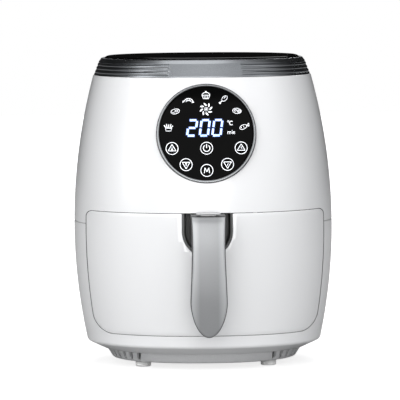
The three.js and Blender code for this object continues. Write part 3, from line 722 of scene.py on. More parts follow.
def loop(middle, long_radius, short_radius, degrees=0, start=0, end=360, steps=14, width=PEN):
    """An ellipse, or part of one, drawn as a thin line."""
    turn = Matrix.Rotation(math.radians(degrees), 2)
    points = []
    for i in range(steps + 1):
        angle = math.radians(start + (end - start) * i / steps)
        point = turn @ Vector((long_radius * math.cos(angle), short_radius * math.sin(angle)))
        points.append((middle[0] + point.x, middle[1] + point.y))
    return strokes(points, width)


def beside(middle, x, y):
    """The point that lies x and y away from middle."""
    return middle[0] + x, middle[1] + y


def line(middle, points, width=PEN):
    """Straight strokes through points that are given from middle."""
    return strokes([beside(middle, x, y) for x, y in points], width)


FRIES, STEAK, SHRIMP, CAKE = (-38, 6.5), (-31, 22.5), (-17.5, 34), (0, 38.5)
DRUMSTICK, MEAT, FISH = (17.5, 34.2), (31, 22.5), (38, 6.5)
fries = (-2.2, -4.4, 2), (-1.2, -2, 3.4), (0, 0.4, 3), (1.4, 2.6, 3.2), (2.2, 4.4, 1.6)
for low_x, high_x, high_y in fries:
    symbols += line(FRIES, [(low_x, -1), (high_x, high_y)], 0.8)
symbols += line(FRIES, [(-3.2, -1), (3.2, -1), (2.4, -3.8), (-2.4, -3.8), (-3.2, -1)])
symbols += loop(STEAK, 4.4, 2.5, 12) + loop(beside(STEAK, 1.2, 0.4), 1.6, 0.9, 12)
symbols += line(STEAK, [(-3.2, -1.2), (-1.6, -0.9), (-0.6, -1.5)])
symbols += loop(beside(SHRIMP, 0, -2.6), 4.6, 4.2, 0, 20, 165, 12, 0.6)
symbols += loop(beside(SHRIMP, 0, -3.2), 3.2, 2.6, 0, 25, 150, 10)
for angle in (50, 75, 100, 125):
    a = math.radians(angle)
    near, far = (3 * math.cos(a), 2.4 * math.sin(a) - 3), (4.5 * math.cos(a), 4 * math.sin(a) - 2.6)
    symbols += line(SHRIMP, [near, far], 0.45)
symbols += line(SHRIMP, [(-4.4, -1.4), (-6, -2.4), (-5.2, -0.4)], 0.6)
symbols += line(SHRIMP, [(4.2, -1.2), (5.4, -2.6), (3.4, -2.6), (4.2, -1.2)])
symbols += loop(beside(CAKE, 0, 0.2), 3.9, 2.8, 0, 0, 180, 12, 0.6)
symbols += line(CAKE, [(-3.9, 0.2), (3.9, 0.2), (2.6, -3.4), (-2.6, -3.4), (-3.9, 0.2)])
for x in (-1.6, 0, 1.6):
    symbols += line(CAKE, [(x * 1.2, 0), (x * 0.9, -3.2)], 0.45)
symbols.append(blob(beside(CAKE, 0, 3.6), 0.8, 0.8))
symbols += loop(beside(DRUMSTICK, 1.2, 1), 3.4, 2.1, 42)
symbols += loop(beside(DRUMSTICK, 1.9, 1.6), 1.4, 0.7, 42, 20, 160, 6)
symbols += line(DRUMSTICK, [(-1, -1.1), (-3.4, -3.4)], 0.9)
symbols += [blob(beside(DRUMSTICK, -3.9, -3.2), 0.7, 0.7), blob(beside(DRUMSTICK, -3.2, -3.9), 0.7, 0.7)]
symbols += loop(MEAT, 4.4, 2.7, -8) + loop(beside(MEAT, 2, -0.3), 1.7, 1.4)
symbols += [blob(beside(MEAT, 2, -0.3), 0.6, 0.6), *loop(beside(MEAT, -1.6, 0.6), 1.3, 0.8, 20)]
symbols += loop(beside(FISH, -0.9, -0.4), 3.8, 2.1, 24) + [blob(beside(FISH, -3, -1), 0.5, 0.5)]
symbols += line(FISH, [(2.4, 1.1), (4.6, 3.6), (4.9, 0.4), (2.4, 1.1)], 0.6)
symbols += line(FISH, [(-0.9, 0.8), (0.2, -1.2)], 0.45)


def glowing(name, colour, halo, strength):
    """A backlit window: its own colour of light, with a faint grain in the diffuser."""
    material, tree, shader = new_material(name)
    light = shades(tree, shader, pattern(tree, "Noise", 420), 0.3, halo, 0.55, colour)
    tree.links.new(light, shader.inputs["Emission Color"])
    shader.inputs["Emission Strength"].default_value = strength
    shader.inputs["Roughness"].default_value = 0.3
    return material


film = joined(symbols)
bmesh.ops.transform(film, matrix=FILM_FRAME, verts=film.verts)
symbol_white = glowing("symbol_white_light", (0.9, 0.92, 0.95), (0.6, 0.62, 0.66), 0.55)
lit_symbols = new_object("display_lit_symbols", film, symbol_white)
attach(lit_symbols, "housing")


# ---- Lit digits ----
# Three seven-segment figures of pale blue light, which lean a little, in the middle of the lens.
# A second, wider film under them is the blue glow round each bar.
DIGIT_WIDTH, DIGIT_HEIGHT, DIGIT_PITCH, DIGIT_LEAN = 8.2, 15.6, 12.7, math.tan(math.radians(8))
DIGITS_MIDDLE = (-1.6, 5.6)
SEGMENT_WIDTH, SEGMENT_GAP = 1.9, 0.9
FIGURES = {"2": ("top", "upper_right", "middle", "lower_left", "bottom"),
           "0": ("top", "upper_left", "upper_right", "lower_left", "lower_right", "bottom")}


def figure(symbol, middle_x, middle_y, gap, width):
    """One digit as separate bars of that width that stop short of its corners by gap."""
    half_w, half_h = DIGIT_WIDTH / 2, DIGIT_HEIGHT / 2
    ends = {
        "top": ((-half_w, half_h), (half_w, half_h)), "middle": ((-half_w, 0), (half_w, 0)),
        "bottom": ((-half_w, -half_h), (half_w, -half_h)), "upper_left": ((-half_w, 0), (-half_w, half_h)),
        "upper_right": ((half_w, 0), (half_w, half_h)), "lower_left": ((-half_w, -half_h), (-half_w, 0)),
        "lower_right": ((half_w, -half_h), (half_w, 0)),
    }
    made = []
    for segment in FIGURES[symbol]:
        start, end = (Vector((x + y * DIGIT_LEAN + middle_x, y + middle_y)) for x, y in ends[segment])
        short = (end - start).normalized() * gap
        made.append(bar(start + short, end - short, width))
    return made


GLOW_WIDTH, GLOW_GAP = 3.0, 0.3
bright = glowing("digit_blue_light", (0.58, 0.78, 1.0), (0.30, 0.52, 1.0), 1.0)
halo = glowing("digit_blue_halo", (0.006, 0.035, 0.20), (0.004, 0.022, 0.14), 1.0)
for name, material, gap, width, lift in (
    ("display_lit_digits", bright, SEGMENT_GAP, SEGMENT_WIDTH, 0.05),
    ("display_digit_halo", halo, GLOW_GAP, GLOW_WIDTH, 0.0),
):
    bars = []
    for i, symbol in enumerate("200"):
        bars += figure(symbol, DIGITS_MIDDLE[0] + (i - 1) * DIGIT_PITCH, DIGITS_MIDDLE[1], gap, width)
    film = joined(bars)
    bmesh.ops.transform(film, matrix=FILM_FRAME @ Matrix.Translation((0, 0, lift)), verts=film.verts)
    digits = new_object(name, film, material)
    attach(digits, "housing")


# ---- Drawer front ----
# The white panel that closes the drawer opening: a gloss ABS moulding that continues the body's curve, with
# a U-shaped cut for the fingers behind the handle. It is screwed to the dark backing behind it.
NOTCH_HALF, NOTCH_MIDDLE_Z = 25.6 * MM, 142.5 * MM


def arc_points(middle_x, middle_z, radius, start, end, steps):
    """Points on an arc in X and Z, from one angle to another, in degrees."""
    angles = [math.radians(start + (end - start) * i / steps) for i in range(steps + 1)]
    return [(middle_x + radius * math.cos(a), middle_z + radius * math.sin(a)) for a in angles]


def surface_y(x, z, inset=0.0):
    """The body surface's y on its front side, at x and z, set in by inset."""
    half = half_width(z) - inset
    return -DEPTH_RATIO * max(half**PLAN_POWER - abs(x) ** PLAN_POWER, 0) ** (1 / PLAN_POWER)


def panel(points, columns, rows, edge_rings, front, thickness):
    """A thin curved panel: an outline with its rim rounded by edge_rings (distance in, depth), cut into
    a grid by columns and rows, and laid on y = front(x, z, depth)."""
    mesh = bmesh.new()
    middle = mesh.faces.new([mesh.verts.new((x, 0, z)) for x, z in points])
    depth = mesh.verts.layers.float.new("depth")
    for vert in middle.verts:
        vert[depth] = edge_rings[0][1]
    for (before, _), (after, sink) in zip(edge_rings, edge_rings[1:]):
        bmesh.ops.inset_region(
            mesh, faces=[middle], thickness=after - before, use_boundary=True, use_even_offset=True,
        )
        for vert in middle.verts:
            vert[depth] = sink
    for places, across in ((columns, (1, 0, 0)), (rows, (0, 0, 1))):
        for place in places:
            everything = mesh.verts[:] + mesh.edges[:] + mesh.faces[:]
            bmesh.ops.bisect_plane(mesh, geom=everything, plane_co=Vector(across) * place, plane_no=across)
    for vert in mesh.verts:
        vert.co.y = front(vert.co.x, vert.co.z, vert[depth])
    bmesh.ops.recalc_face_normals(mesh, faces=mesh.faces)
    if max(mesh.faces, key=lambda face: face.calc_area()).normal.y > 0:
        bmesh.ops.reverse_faces(mesh, faces=mesh.faces)
    bmesh.ops.solidify(mesh, geom=mesh.faces[:], thickness=thickness)
    bmesh.ops.recalc_face_normals(mesh, faces=mesh.faces)
    return mesh


def mirrored(half):
    """The right half of an outline, followed by its left half."""
    return half + [(-x, z) for x, z in half[-2::-1]]


DRAWER_HALF = BODY_HALF_WIDTH * DRAWER_SHARE - 0.2 * MM
front_low, front_high = DRAWER_LOW + 0.2 * MM, DRAWER_HIGH - 0.2 * MM
low_x, low_z = DRAWER_HALF - DRAWER_LOW_RADIUS, front_low + DRAWER_LOW_RADIUS
high_x, high_z = DRAWER_HALF - DRAWER_HIGH_RADIUS, front_high - DRAWER_HIGH_RADIUS
upright = [low_z + (high_z - low_z) * i / 24 for i in range(1, 24)]
outer_right = [
    *arc_points(low_x, low_z, DRAWER_LOW_RADIUS, 270, 360, 14),
    *[(DRAWER_HALF, z) for z in upright],
    *arc_points(high_x, high_z, DRAWER_HIGH_RADIUS, 0, 90, 8),
]
outer_right = [(x * half_width(z) / BODY_HALF_WIDTH, z) for x, z in outer_right]
notch_right = [
    *arc_points(NOTCH_HALF + 1.2 * MM, front_high - 1.2 * MM, 1.2 * MM, 90, 180, 4),
    *arc_points(0, NOTCH_MIDDLE_Z, NOTCH_HALF, 0, -90, 16),
]
turns = [math.radians(3 * i) for i in range(1, 30)]
reach = [DRAWER_HALF * math.sin(a) for a in turns]
EASED_EDGE = [(0.0, 0.6 * MM), (0.15 * MM, 0.2 * MM), (0.6 * MM, 0.0)]
columns = [-x for x in reach] + [0] + reach
rows = [front_low + 5 * MM * i for i in range(1, 25)]
drawer_panel = panel(mirrored(outer_right + notch_right), columns, rows, EASED_EDGE, surface_y, WALL)
drawer_white = gloss_white("drawer_gloss_white", (0.78, 0.785, 0.79))
drawer_front = new_object("drawer_front_panel", drawer_panel, drawer_white)
smooth(drawer_front, 50)
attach(drawer_front, "drawer")
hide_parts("drawer_front")


# ---- Finger recess ----
# A dark grey cup behind the notch, moulded in textured plastic, with a rounded floor. It is open at the top,
# where the basket's bracket passes through it, and has a hole for the release bolt.
def notch_outline(grow, top=175 * MM, segments=28):
    """The notch as a flat U-shaped face, larger than the cut by grow."""
    mesh = bmesh.new()
    half = NOTCH_HALF + grow
    bend = arc_points(0, NOTCH_MIDDLE_Z, half, 0, -180, segments)
    mesh.faces.new([mesh.verts.new((x, 0, z)) for x, z in [(half, top), *bend, (-half, top)]])
    return mesh


RECESS_BACK, RECESS_FLOOR = -118 * MM, -120 * MM
cup = extruded(notch_outline(-0.3 * MM), -160 * MM, RECESS_BACK)
handle_recess = new_object("finger_recess_cup", cup, soft_grey("recess_dark_grey", (0.07, 0.072, 0.07), 1100))
hollow = extruded(notch_outline(-2.3 * MM), -161 * MM, RECESS_FLOOR)
floor_edges = []
for edge in hollow.edges:
    on_floor = all(abs(vert.co.y - RECESS_FLOOR) < 1e-5 for vert in edge.verts)
    if on_floor and min(vert.co.z for vert in edge.verts) < 170 * MM:
        floor_edges.append(edge)
bmesh.ops.bevel(
    hollow, geom=floor_edges, offset=2.5 * MM, segments=5, profile=0.5, affect="EDGES", material=-1,
)
carve(handle_recess, hollow)
cup_limit = turned([(0, 100 * MM), *side(100 * MM, 160.4 * MM, 0.8 * MM), (0, 160.4 * MM)], closed=False)
carve(handle_recess, squared(cup_limit), "INTERSECT")


def box_block(low, high):
    """A block between two corners given in millimetres."""
    low, high = Vector(low) * MM, Vector(high) * MM
    return block(*(high - low), Matrix.Translation((low + high) / 2))


BRACKET_NOTCH = ((-12.8, -130, 153), (12.8, -100, 175))
BOLT_HOLE = ((-4.1, -128, 139.9), (4.1, -105, 145.6))
carve(handle_recess, joined([box_block(*BRACKET_NOTCH), box_block(*BOLT_HOLE)]))
smooth(handle_recess, 40)
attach(handle_recess, "drawer")
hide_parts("handle_recess")


# ---- Front backing ----
# A flat dark plate with moulded stiffening ribs. The drawer front and the recess are screwed to it, the pan
# hangs on it, and the small tongue at its top presses the safety switch when the drawer is home.
plate = box_block((-77, -115.5, 41.5), (77, -112.7, 158.4))
backing = new_object("front_backing_plate", plate, soft_grey("backing_dark_grey", (0.05, 0.05, 0.052), 800))
ribs = [box_block((x - 0.9, -113.2, 46), (x + 0.9, -111.2, 128)) for x in (-54, -36, -18, 0, 18, 36, 54)]
ribs += [box_block((-66, -113.2, z - 0.9), (66, -111.2, z + 0.9)) for z in (52, 76, 100, 124)]
tongue = box_block((45, -122, 156.4), (53, -115, 158.4))
for rib in [*ribs, tongue]:
    carve(backing, rib, "UNION")
backing_side = side(41 * MM, 158.4 * MM, WALL + 4 * MM)
backing_limit = turned([(0, 41 * MM), *backing_side, (0, 158.4 * MM)], closed=False)
carve(backing, squared(backing_limit), "INTERSECT")
carve(backing, box_block(*BRACKET_NOTCH))
smooth(backing)
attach(backing, "drawer")
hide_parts("front_backing")


# ---- Handle core ----
# The structural half of the hanging handle: a dark nylon arm that comes forward out of the recess and hangs
# in front of the drawer. It is hollow at the top for the basket release and is screwed to the backing.
HANDLE_TOP, HANDLE_TIP, HANDLE_BACK = 160.4, 38.5, -125.0
HALF_TOP, HALF_WAIST, HALF_WIDE, WIDE_Z = 17.3, 16.3, 18.5, 74.0


def spline(points, steps):
    """A smooth line through the points (Catmull-Rom), as a list of pairs."""
    curve = []
    padded = [points[0], *points, points[-1]]
    for a, b, c, d in zip(padded, padded[1:], padded[2:], padded[3:]):
        a, b, c, d = (Vector(p) for p in (a, b, c, d))
        for i in range(steps):
            t = i / steps
            bend = (2 * a - 5 * b + 4 * c - d) * t**2 + (3 * b - a - 3 * c + d) * t**3
            curve.append(tuple(0.5 * (2 * b + (c - a) * t + bend)))
    return [*curve, tuple(points[-1])]


def handle_front(inset):
    """The handle's front face seen from the side, from its top to its tip: (y, z) in millimetres."""
    return spline([
        (-171.5 + inset, HANDLE_TOP), (-177 + inset, 154.5), (-180 + inset, 128), (-178.5 + inset, 84),
        (-172 + inset, HANDLE_TIP),
    ], 8)


def handle_front_y(z):
    """How far forward the front face is at height z, in millimetres."""
    face = handle_front(0)
    for (high_y, high), (low_y, low) in zip(face, face[1:]):
        if z >= low:
            return high_y + (low_y - high_y) * (high - z) / (high - low)
    return face[-1][0]


def handle_face(grow, top=164):
    """Half of the handle's outline seen from the front, from its top to its tip: (x, z) in millimetres."""
    edge = spline([
        (HALF_TOP + grow, top), (HALF_WAIST + grow + 0.3, 140), (HALF_WAIST + grow + 0.4, 118),
        (HALF_WIDE + grow, WIDE_Z),
    ], 8)
    drop = WIDE_Z - HANDLE_TIP + grow
    tip = []
    for i in range(1, 25):
        angle = math.pi / 2 * i / 24
        tip.append(((HALF_WIDE + grow) * math.cos(angle), WIDE_Z - drop * math.sin(angle) ** 1.15))
    return edge + tip[:-1] + [(0, tip[-1][1])]


def slab(outline, across, near, far):
    """A closed block in millimetres: an outline of (x, z) pairs carried along Y, or (y, z) pairs along X."""
    mesh = bmesh.new()
    places = [(p, near, q) if across == "Y" else (near, p, q) for p, q in outline]
    mesh.faces.new([mesh.verts.new(Vector(place) * MM) for place in places])
    made = bmesh.ops.extrude_face_region(mesh, geom=mesh.faces[:])
    lifted = [item for item in made["geom"] if isinstance(item, bmesh.types.BMVert)]
    reach = (far - near) * MM
    bmesh.ops.translate(mesh, verts=lifted, vec=(0, reach, 0) if across == "Y" else (reach, 0, 0))
    bmesh.ops.recalc_face_normals(mesh, faces=mesh.faces)
    return mesh


def eased(piece, width, segments=3, angle=32):
    """Rounds the piece's sharp edges."""
    bevel = piece.modifiers.new("eased_edges", "BEVEL")
    bevel.width = width
    bevel.segments = segments
    bevel.limit_method = "ANGLE"
    bevel.angle_limit = math.radians(angle)
    applied(piece)


core_inset = 2.4
arm_back = [
    (-166, HANDLE_TIP), (-166.5, 84), (-165.4, 112), (-163.6, 121), (-160, 127), (-153, 130.4), (-144, 131),
    (HANDLE_BACK, 131),
]
arm_side = [(HANDLE_BACK, HANDLE_TOP), *handle_front(core_inset), *arm_back]
core_nylon = soft_grey("handle_core_dark", (0.045, 0.046, 0.047), 1000)
handle_core = new_object("handle_core_arm", slab(arm_side, "X", -30, 30), core_nylon)
carve(handle_core, slab(mirrored(handle_face(0)), "Y", -200, -100), "INTERSECT")
eased(handle_core, 0.9 * MM)
BUTTON_SLOT = ((-8.3, -168.5, 150), (8.3, -157.5, 170))
CAVITY = ((-9.2, -169.5, 139), (9.2, -127.5, 153.8))
for hollow in (CAVITY, BUTTON_SLOT, BOLT_HOLE):
    carve(handle_core, box_block(*hollow))
smooth(handle_core, 32)
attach(handle_core, "drawer")
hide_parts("handle_core")


# ---- Handle cover ----
# The satin grey skin that is seen and held, 2.1 mm thick and slightly crowned across. It is glued to the
# core's front and its edge is rounded all the way round.
COVER_GROW, CROWN = -0.7, 1.0


def cover_y(x, z, inset):
    """The cover's front surface: the handle's side line, falling away a little towards both edges."""
    x_share = x / MM / HALF_WIDE
    return handle_front_y(z / MM) * MM + inset + CROWN * MM * x_share**2


def satin_grey(name, tint):
    """Satin lacquer: cool grey with a very fine grain, and a painted highlight that makes it paler towards
    the rims.
    """
    material, tree, shader = new_material(name)
    coat = shades(tree, shader, pattern(tree, "Noise", 1800), 0.3, darker(tint, 0.94), 0.7, tint)
    place = tree.nodes.new("ShaderNodeTexCoord")
    axes = tree.nodes.new("ShaderNodeSeparateXYZ")
    from_middle = tree.nodes.new("ShaderNodeMath")
    from_middle.operation = "ABSOLUTE"
    # Painted highlight: the base colour is mixed up to 1.7 times paler towards both side rims, standing in
    # for light caught at the edges.
    rim = tree.nodes.new("ShaderNodeMapRange")
    rim.inputs["From Min"].default_value = 0.009
    rim.inputs["From Max"].default_value = 0.0165
    rim.inputs["To Max"].default_value = 0.85
    rim_highlight_paint = tree.nodes.new("ShaderNodeMixRGB")
    rim_highlight_paint.inputs["Color2"].default_value = (*[c * 1.7 for c in tint], 1)
    tree.links.new(place.outputs["Object"], axes.inputs["Vector"])
    tree.links.new(axes.outputs["X"], from_middle.inputs[0])
    tree.links.new(from_middle.outputs["Value"], rim.inputs["Value"])
    tree.links.new(rim.outputs["Result"], rim_highlight_paint.inputs["Fac"])
    tree.links.new(coat, rim_highlight_paint.inputs["Color1"])
    tree.links.new(rim_highlight_paint.outputs["Color"], shader.inputs["Base Color"])
    uneven_gloss(tree, shader, pattern(tree, "Noise", 30), 0.34, 0.46)
    shader.inputs["Metallic"].default_value = 0.4
    return material


cover_outline = mirrored(in_mm(handle_face(COVER_GROW, 159.6)))
cover_rings = [(0.0, 1.1 * MM), (0.2 * MM, 0.5 * MM), (0.6 * MM, 0.14 * MM), (1.2 * MM, 0.0)]
columns = [2.2 * MM * i for i in range(-8, 9)]
rows = [3 * MM * i for i in range(14, 53)]
cover_panel = panel(cover_outline, columns, rows, cover_rings, cover_y, 0.9 * MM)
cover_lacquer = satin_grey("handle_satin_grey", (0.27, 0.275, 0.28))
handle_cover = new_object("handle_cover_skin", cover_panel, cover_lacquer)
smooth(handle_cover, 50)
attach(handle_cover, "drawer")
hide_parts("handle_cover")


# ---- Basket release ----
# A push button in the top of the handle with a small sliding cover over it. Pressing the button draws a
# steel-backed bolt out of the basket's bracket, and two coil springs push it up again.
release_grey = soft_grey("release_light_grey", (0.56, 0.565, 0.57), 1000)
button = box_block((-7.8, -168, 151.2), (7.8, -158, 161.6))
release_button = new_object("release_button_key", button, release_grey)
eased(release_button, 0.7 * MM)
carve(release_button, box_block((-8.6, -169, 151.2), (8.6, -157, 152.8)), "UNION")
SLOPE_TOP, SLOPE_LOW, SLOPE_CLEAR, KEY_FOOT_Z, KEY_FOOT_BACK = 147.2, 142.5, 0.6, 146.4, -160.6


def slope_y(z):
    """The bolt's sloped face: its y at height z, in millimetres."""
    return -165 + SLOPE_TOP - z


key_foot = [
    (slope_y(KEY_FOOT_Z) + SLOPE_CLEAR, KEY_FOOT_Z), (KEY_FOOT_BACK, KEY_FOOT_Z), (KEY_FOOT_BACK, 152),
    (slope_y(SLOPE_TOP) + SLOPE_CLEAR, 152), (slope_y(SLOPE_TOP) + SLOPE_CLEAR, SLOPE_TOP),
]
carve(release_button, slab(key_foot, "X", -3, 3), "UNION")
smooth(release_button)
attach(release_button, "release_button")
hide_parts("release_button")

slide = box_block((-12, -170.5, 162), (12, -155.8, 163.4))
button_cover = new_object("button_cover_slide", slide, release_grey)
for x in (-1.6, 0, 1.6):
    ridge = box_block((-9, -162.9 + x - 0.35, 163), (9, -162.9 + x + 0.35, 163.8))
    carve(button_cover, ridge, "UNION")
eased(button_cover, 0.35 * MM, 2)
smooth(button_cover)
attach(button_cover, "button_cover")
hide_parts("button_cover")

bolt_side = [
    (-165, 140.5), (-117, 140.5), (-117, 143.5), (-118.5, 145), (KEY_FOOT_BACK + 4.2, 145),
    (KEY_FOOT_BACK + 4.2, SLOPE_LOW), (slope_y(SLOPE_LOW), SLOPE_LOW), (-165, SLOPE_TOP),
]
bolt_acetal = soft_grey("bolt_dark_acetal", (0.06, 0.06, 0.062), 700)
release_bolt = new_object("release_bolt_bar", slab(bolt_side, "X", -3.5, 3.5), bolt_acetal)
eased(release_bolt, 0.25 * MM, 2)
smooth(release_bolt)
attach(release_bolt, "release_bolt")
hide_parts("release_bolt")


# ---- Pan ----
# The drawer's pan: drawn aluminium with a black non-stick coating, a rolled rim and a flat bottom with
# pressed stiffening rings. It hangs on the front backing.
PAN_POWER, PAN_RATIO, PAN_MIDDLE_Y = 3, 0.98, -11 * MM


def coated(name, tint):
    """Non-stick coating: near black with fine mineral specks, and a slightly uneven satin surface."""
    material, tree, shader = new_material(name)
    specks = pattern(tree, "Voronoi", 520, "Distance")
    shades(tree, shader, specks, 0.04, (0.11, 0.11, 0.115), 0.12, tint)
    relief(tree, shader, pattern(tree, "Noise", 380), 0.15, 0.0002)
    shader.inputs["Roughness"].default_value = 0.42
    return material


non_stick = coated("pan_non_stick", (0.014, 0.014, 0.015))


pan_profile = in_mm([
    (0, 41.6), (30, 41.6), (31, 41), (44, 41), (45, 41.6), (60, 41.6), (61, 41), (87, 41), (90.4, 42.2),
    (93, 44.6), (94, 47.5), (97.5, 98), (100.6, 146), (101.2, 149.2), (103.1, 150), (103.6, 150.7),
    (103.4, 151.7), (102.4, 152), (100.6, 151.8), (99.6, 151), (99.2, 149), (96, 98), (92.4, 48),
    (90.6, 44.4), (87.2, 42.6), (61, 42.6), (60, 43.2), (45, 43.2), (44, 42.6), (31, 42.6), (30, 43.2),
    (0, 43.2),
])
tub = squared(turned(pan_profile, 128, closed=False), PAN_POWER, PAN_RATIO, PAN_MIDDLE_Y)
pan = new_object("pan_drawn_tub", tub, non_stick)
smooth(pan, 40)
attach(pan, "drawer")
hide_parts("pan")


# ---- Basket ----
# The perforated crisping basket that sits in the pan by its rim: pressed steel with the same coating, rings
# of round holes in its floor and a belt of upright slots low in its wall.
basket_profile = in_mm([
    (0, 52), (84, 52), (87, 53.4), (89, 57), (93, 104), (96.6, 148), (97, 152), (97.6, 152.3),
    (101.6, 152.3), (102.4, 152.7), (102.2, 153.5), (101, 153.8), (96.8, 153.8), (95.6, 152.8), (95, 148),
    (91.6, 104), (87.6, 58), (86, 54.8), (83.4, 53.4), (0, 53.4),
])
basket_mesh = squared(turned(basket_profile, 128, closed=False), PAN_POWER, PAN_RATIO, PAN_MIDDLE_Y)
basket = new_object("basket_perforated", basket_mesh, coated("basket_non_stick", (0.017, 0.017, 0.018)))
holes = []
for ring, count in ((11, 6), (22, 12), (33, 18), (44, 24), (55, 30), (66, 36)):
    for i in range(count):
        angle = 2 * math.pi * (i + 0.5 * (ring % 2)) / count
        x, y = ring * MM * math.cos(angle), ring * MM * math.sin(angle) + PAN_MIDDLE_Y
        holes.append(drum(2.4 * MM, 6 * MM, 10, Matrix.Translation((x, y, 52.7 * MM))))
for i in range(36):
    around = Matrix.Translation((0, PAN_MIDDLE_Y, 0)) @ Matrix.Rotation(math.radians(10 * i + 5), 4, "Z")
    holes.append(block(3 * MM, 60 * MM, 14 * MM, around @ Matrix.Translation((0, 100 * MM, 70 * MM))))
carve(basket, joined(holes))
smooth(basket, 40)
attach(basket, "drawer")
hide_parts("basket")


# ---- Basket bracket ----
# A bent steel strap on the basket's rim. It passes over the recess and down behind the handle, where the
# release bolt goes through it.
def brushed_steel(name, tint, roughness, stretch=(1, 1, 14)):
    """Rolled sheet: fine grain drawn out in one direction, with brightness and roughness following it."""
    material, tree, shader = new_material(name)
    grain = pattern(tree, "Noise", 160, Detail=5)
    drawn = tree.nodes.new("ShaderNodeMapping")
    drawn.inputs["Scale"].default_value = stretch
    across = grain.node.inputs["Vector"]
    tree.links.new(across.links[0].from_socket, drawn.inputs["Vector"])
    tree.links.new(drawn.outputs["Vector"], across)
    shades(tree, shader, grain, 0.3, darker(tint, 0.8), 0.7, tint)
    uneven_gloss(tree, shader, grain, roughness - 0.06, roughness + 0.08)
    shader.inputs["Metallic"].default_value = 1.0
    return material


strap = box_block((-12, -124.7, 154.1), (12, -100, 156))
zinc_plated = brushed_steel("zinc_plated_steel", (0.55, 0.56, 0.57), 0.32)
bracket = new_object("basket_bracket_strap", strap, zinc_plated)
carve(bracket, box_block((-12, -124.7, 133), (12, -122.8, 156)), "UNION")
eased(bracket, 0.5 * MM, 2)
carve(bracket, box_block(*BOLT_HOLE))
smooth(bracket, 32)
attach(bracket, "drawer")
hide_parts("basket_bracket")


# ---- Heating element ----
# A tubular heater: a steel sheath bent into a double spiral, oxidised straw and blue where it glows, with
# two straight legs that rise through ceramic insulators to the terminals.
def heater_sheath(name):
    """Oxidised steel sheath: blue-black bands and straw patches from repeated heating."""
    material, tree, shader = new_material(name)
    heat = pattern(tree, "Noise", 38, Detail=3)
    shades(tree, shader, heat, 0.35, (0.07, 0.08, 0.10), 0.7, (0.20, 0.16, 0.11))
    shader.inputs["Metallic"].default_value = 0.8
    shader.inputs["Roughness"].default_value = 0.45
    return material


def finished(material, slot, *names):
    """Gives carried-over CAD pieces their real surface."""
    for name in names:
        nodes[name].material_slots[0].material = material


finished(heater_sheath("heater_oxidised_sheath"), "element_steel", "heating_element")


# ---- Cooking chamber ----
# The parts that hold the hot air: aluminised steel liner, reflector and heat shield, spun or pressed, and
# riveted to the deck. They are carried over from the frame with their sheet metal surface.
chamber_steel = brushed_steel("aluminised_sheet", (0.60, 0.60, 0.59), 0.3)
finished(chamber_steel, "chamber_steel", "chamber_liner", "reflector", "heat_shield", "hot_air_fan")
heat_plastic = soft_grey("heatproof_dark_plastic", (0.055, 0.055, 0.057), 700)
finished(heat_plastic, "dark_moulding", "chamber_floor", "opening_frame", "upper_deck", "display_carrier")


# ---- Motor, shaft and fans ----
# The shaded-pole motor on its three-legged bracket turns one shaft that carries the hot air fan below and
# the plastic cooling fan above.
plated = brushed_steel("zinc_plated_pressing", (0.52, 0.53, 0.54), 0.36)
finished(plated, "screw_steel", "motor_bracket", "motor_can")
turned_steel = brushed_steel("turned_bright_steel", (0.60, 0.60, 0.61), 0.22, (1, 1, 60))
finished(turned_steel, "screw_steel", "motor_shaft", "rotor_core", "fan_nut", "temperature_probe")
finished(plated, "screw_steel", "button_spring_left", "button_spring_right")
for name in ("bearing_lower", "bearing_upper"):
    finished(brushed_steel(f"{name}_sintered_bronze", (0.50, 0.34, 0.16), 0.4, (1, 1, 1)), "winding", name)
finished(soft_grey("cooling_fan_nylon", (0.07, 0.07, 0.072), 600), "dark_moulding", "cooling_fan")


def wound_copper(name):
    """Varnished copper wire: close upright turns drawn as bands of painted highlight on their tops and
    painted shade in the gaps between them.
    """
    material, tree, shader = new_material(name)
    wire = pattern(tree, "Wave", 260, "Color", Distortion=1.2)
    wire.node.bands_direction = "Z"
    # Painted highlight and shade: the wave bands make each turn's top bright and each gap dark.
    shades(tree, shader, wire, 0, (0.12, 0.04, 0.015), 1, (0.55, 0.24, 0.10))
    shader.inputs["Metallic"].default_value = 0.7
    shader.inputs["Roughness"].default_value = 0.35
    return material


finished(wound_copper("motor_winding_copper"), "winding", "motor_stator")


# ---- Electrics ----
# Boards, relay, filter capacitor, thermal cut-out and switch: what drives the heater and fan, screwed to the
# deck and clipped into the display carrier.
def board_green(name):
    """Solder-resist green over copper tracks that show as paler squares and lines."""
    material, tree, shader = new_material(name)
    board, patch, track = (0.010, 0.10, 0.045, 1), (0.014, 0.13, 0.06, 1), (0.05, 0.22, 0.11, 1)
    tracks = pattern(tree, "Brick", 160, "Color", Color1=board, Color2=patch, Mortar=track)
    tree.links.new(tracks, shader.inputs["Base Color"])
    shader.inputs["Roughness"].default_value = 0.35
    return material


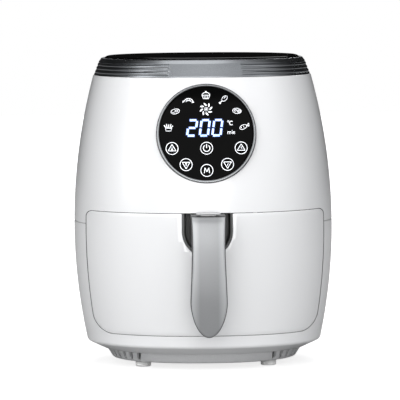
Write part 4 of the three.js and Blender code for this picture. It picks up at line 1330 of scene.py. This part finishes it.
finished(board_green("board_solder_resist"), "circuit_board", "touch_board", "mains_board")
ceramic = soft_grey("steatite_ceramic", (0.74, 0.70, 0.62), 500)
finished(ceramic, "ceramic", "terminal_insulator_left", "terminal_insulator_right", "thermal_cutout")
finished(soft_grey("relay_black_case", (0.03, 0.03, 0.032), 900), "dark_moulding", "relay", "door_switch")
finished(soft_grey("capacitor_yellow_film", (0.62, 0.42, 0.06), 400), "capacitor_yellow", "filter_capacitor")
finished(soft_grey("plunger_white_acetal", (0.75, 0.75, 0.73), 900), "plunger_white", "switch_plunger")
light_guide = soft_grey("light_guide_white", (0.72, 0.72, 0.70), 800)
finished(light_guide, "lit_symbols", "icon_light_guide")
finished(soft_grey("led_module_black", (0.02, 0.02, 0.02), 900), "lit_digits", "led_display")


# ---- Base screws ----
# Four cross-headed steel screws that hold the base cover to the posts of the chamber floor.
# Their heads sit in wells in the base cover's underside.
for name in screw_names:
    low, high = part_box(name)
    middle = (low + high) / 2
    head_profile = in_mm([
        (0, 4.1), (3.2, 4.1), (3.8, 4.5), (4, 5.1), (4, 5.7), (2, 5.7), (2, 18.6), (0.6, 20), (0, 20),
    ])
    screw = turned(head_profile, 24, closed=False)
    bmesh.ops.translate(screw, verts=screw.verts, vec=(middle.x, middle.y, 0))
    screw_piece = new_object(f"{name}_cross_head", screw, turned_steel)
    cross = [box_block((-2.3, -0.4, 3.5), (2.3, 0.4, 5.1)), box_block((-0.4, -2.3, 3.5), (0.4, 2.3, 5.1))]
    for arm in cross:
        bmesh.ops.translate(arm, verts=arm.verts, vec=(middle.x, middle.y, 0))
        carve(screw_piece, arm)
    smooth(screw_piece)
    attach(screw_piece, "housing")
    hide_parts(name)


# ---- Rear grille ----
# The dark moulded grille where hot air leaves at the back: level louvres in a rounded frame, set flush in
# the upper housing.
finished(soft_grey("grille_dark_grey", (0.06, 0.061, 0.062), 1000), "dark_moulding", "rear_grille")


# ---- Cord gland ----
# The bush that leads the mains cord out of the rear of the lower housing: a black collar with a soft rounded
# lip.
finished(soft_grey("gland_black_rubber", (0.025, 0.025, 0.026), 700), "dark_moulding", "cord_gland")
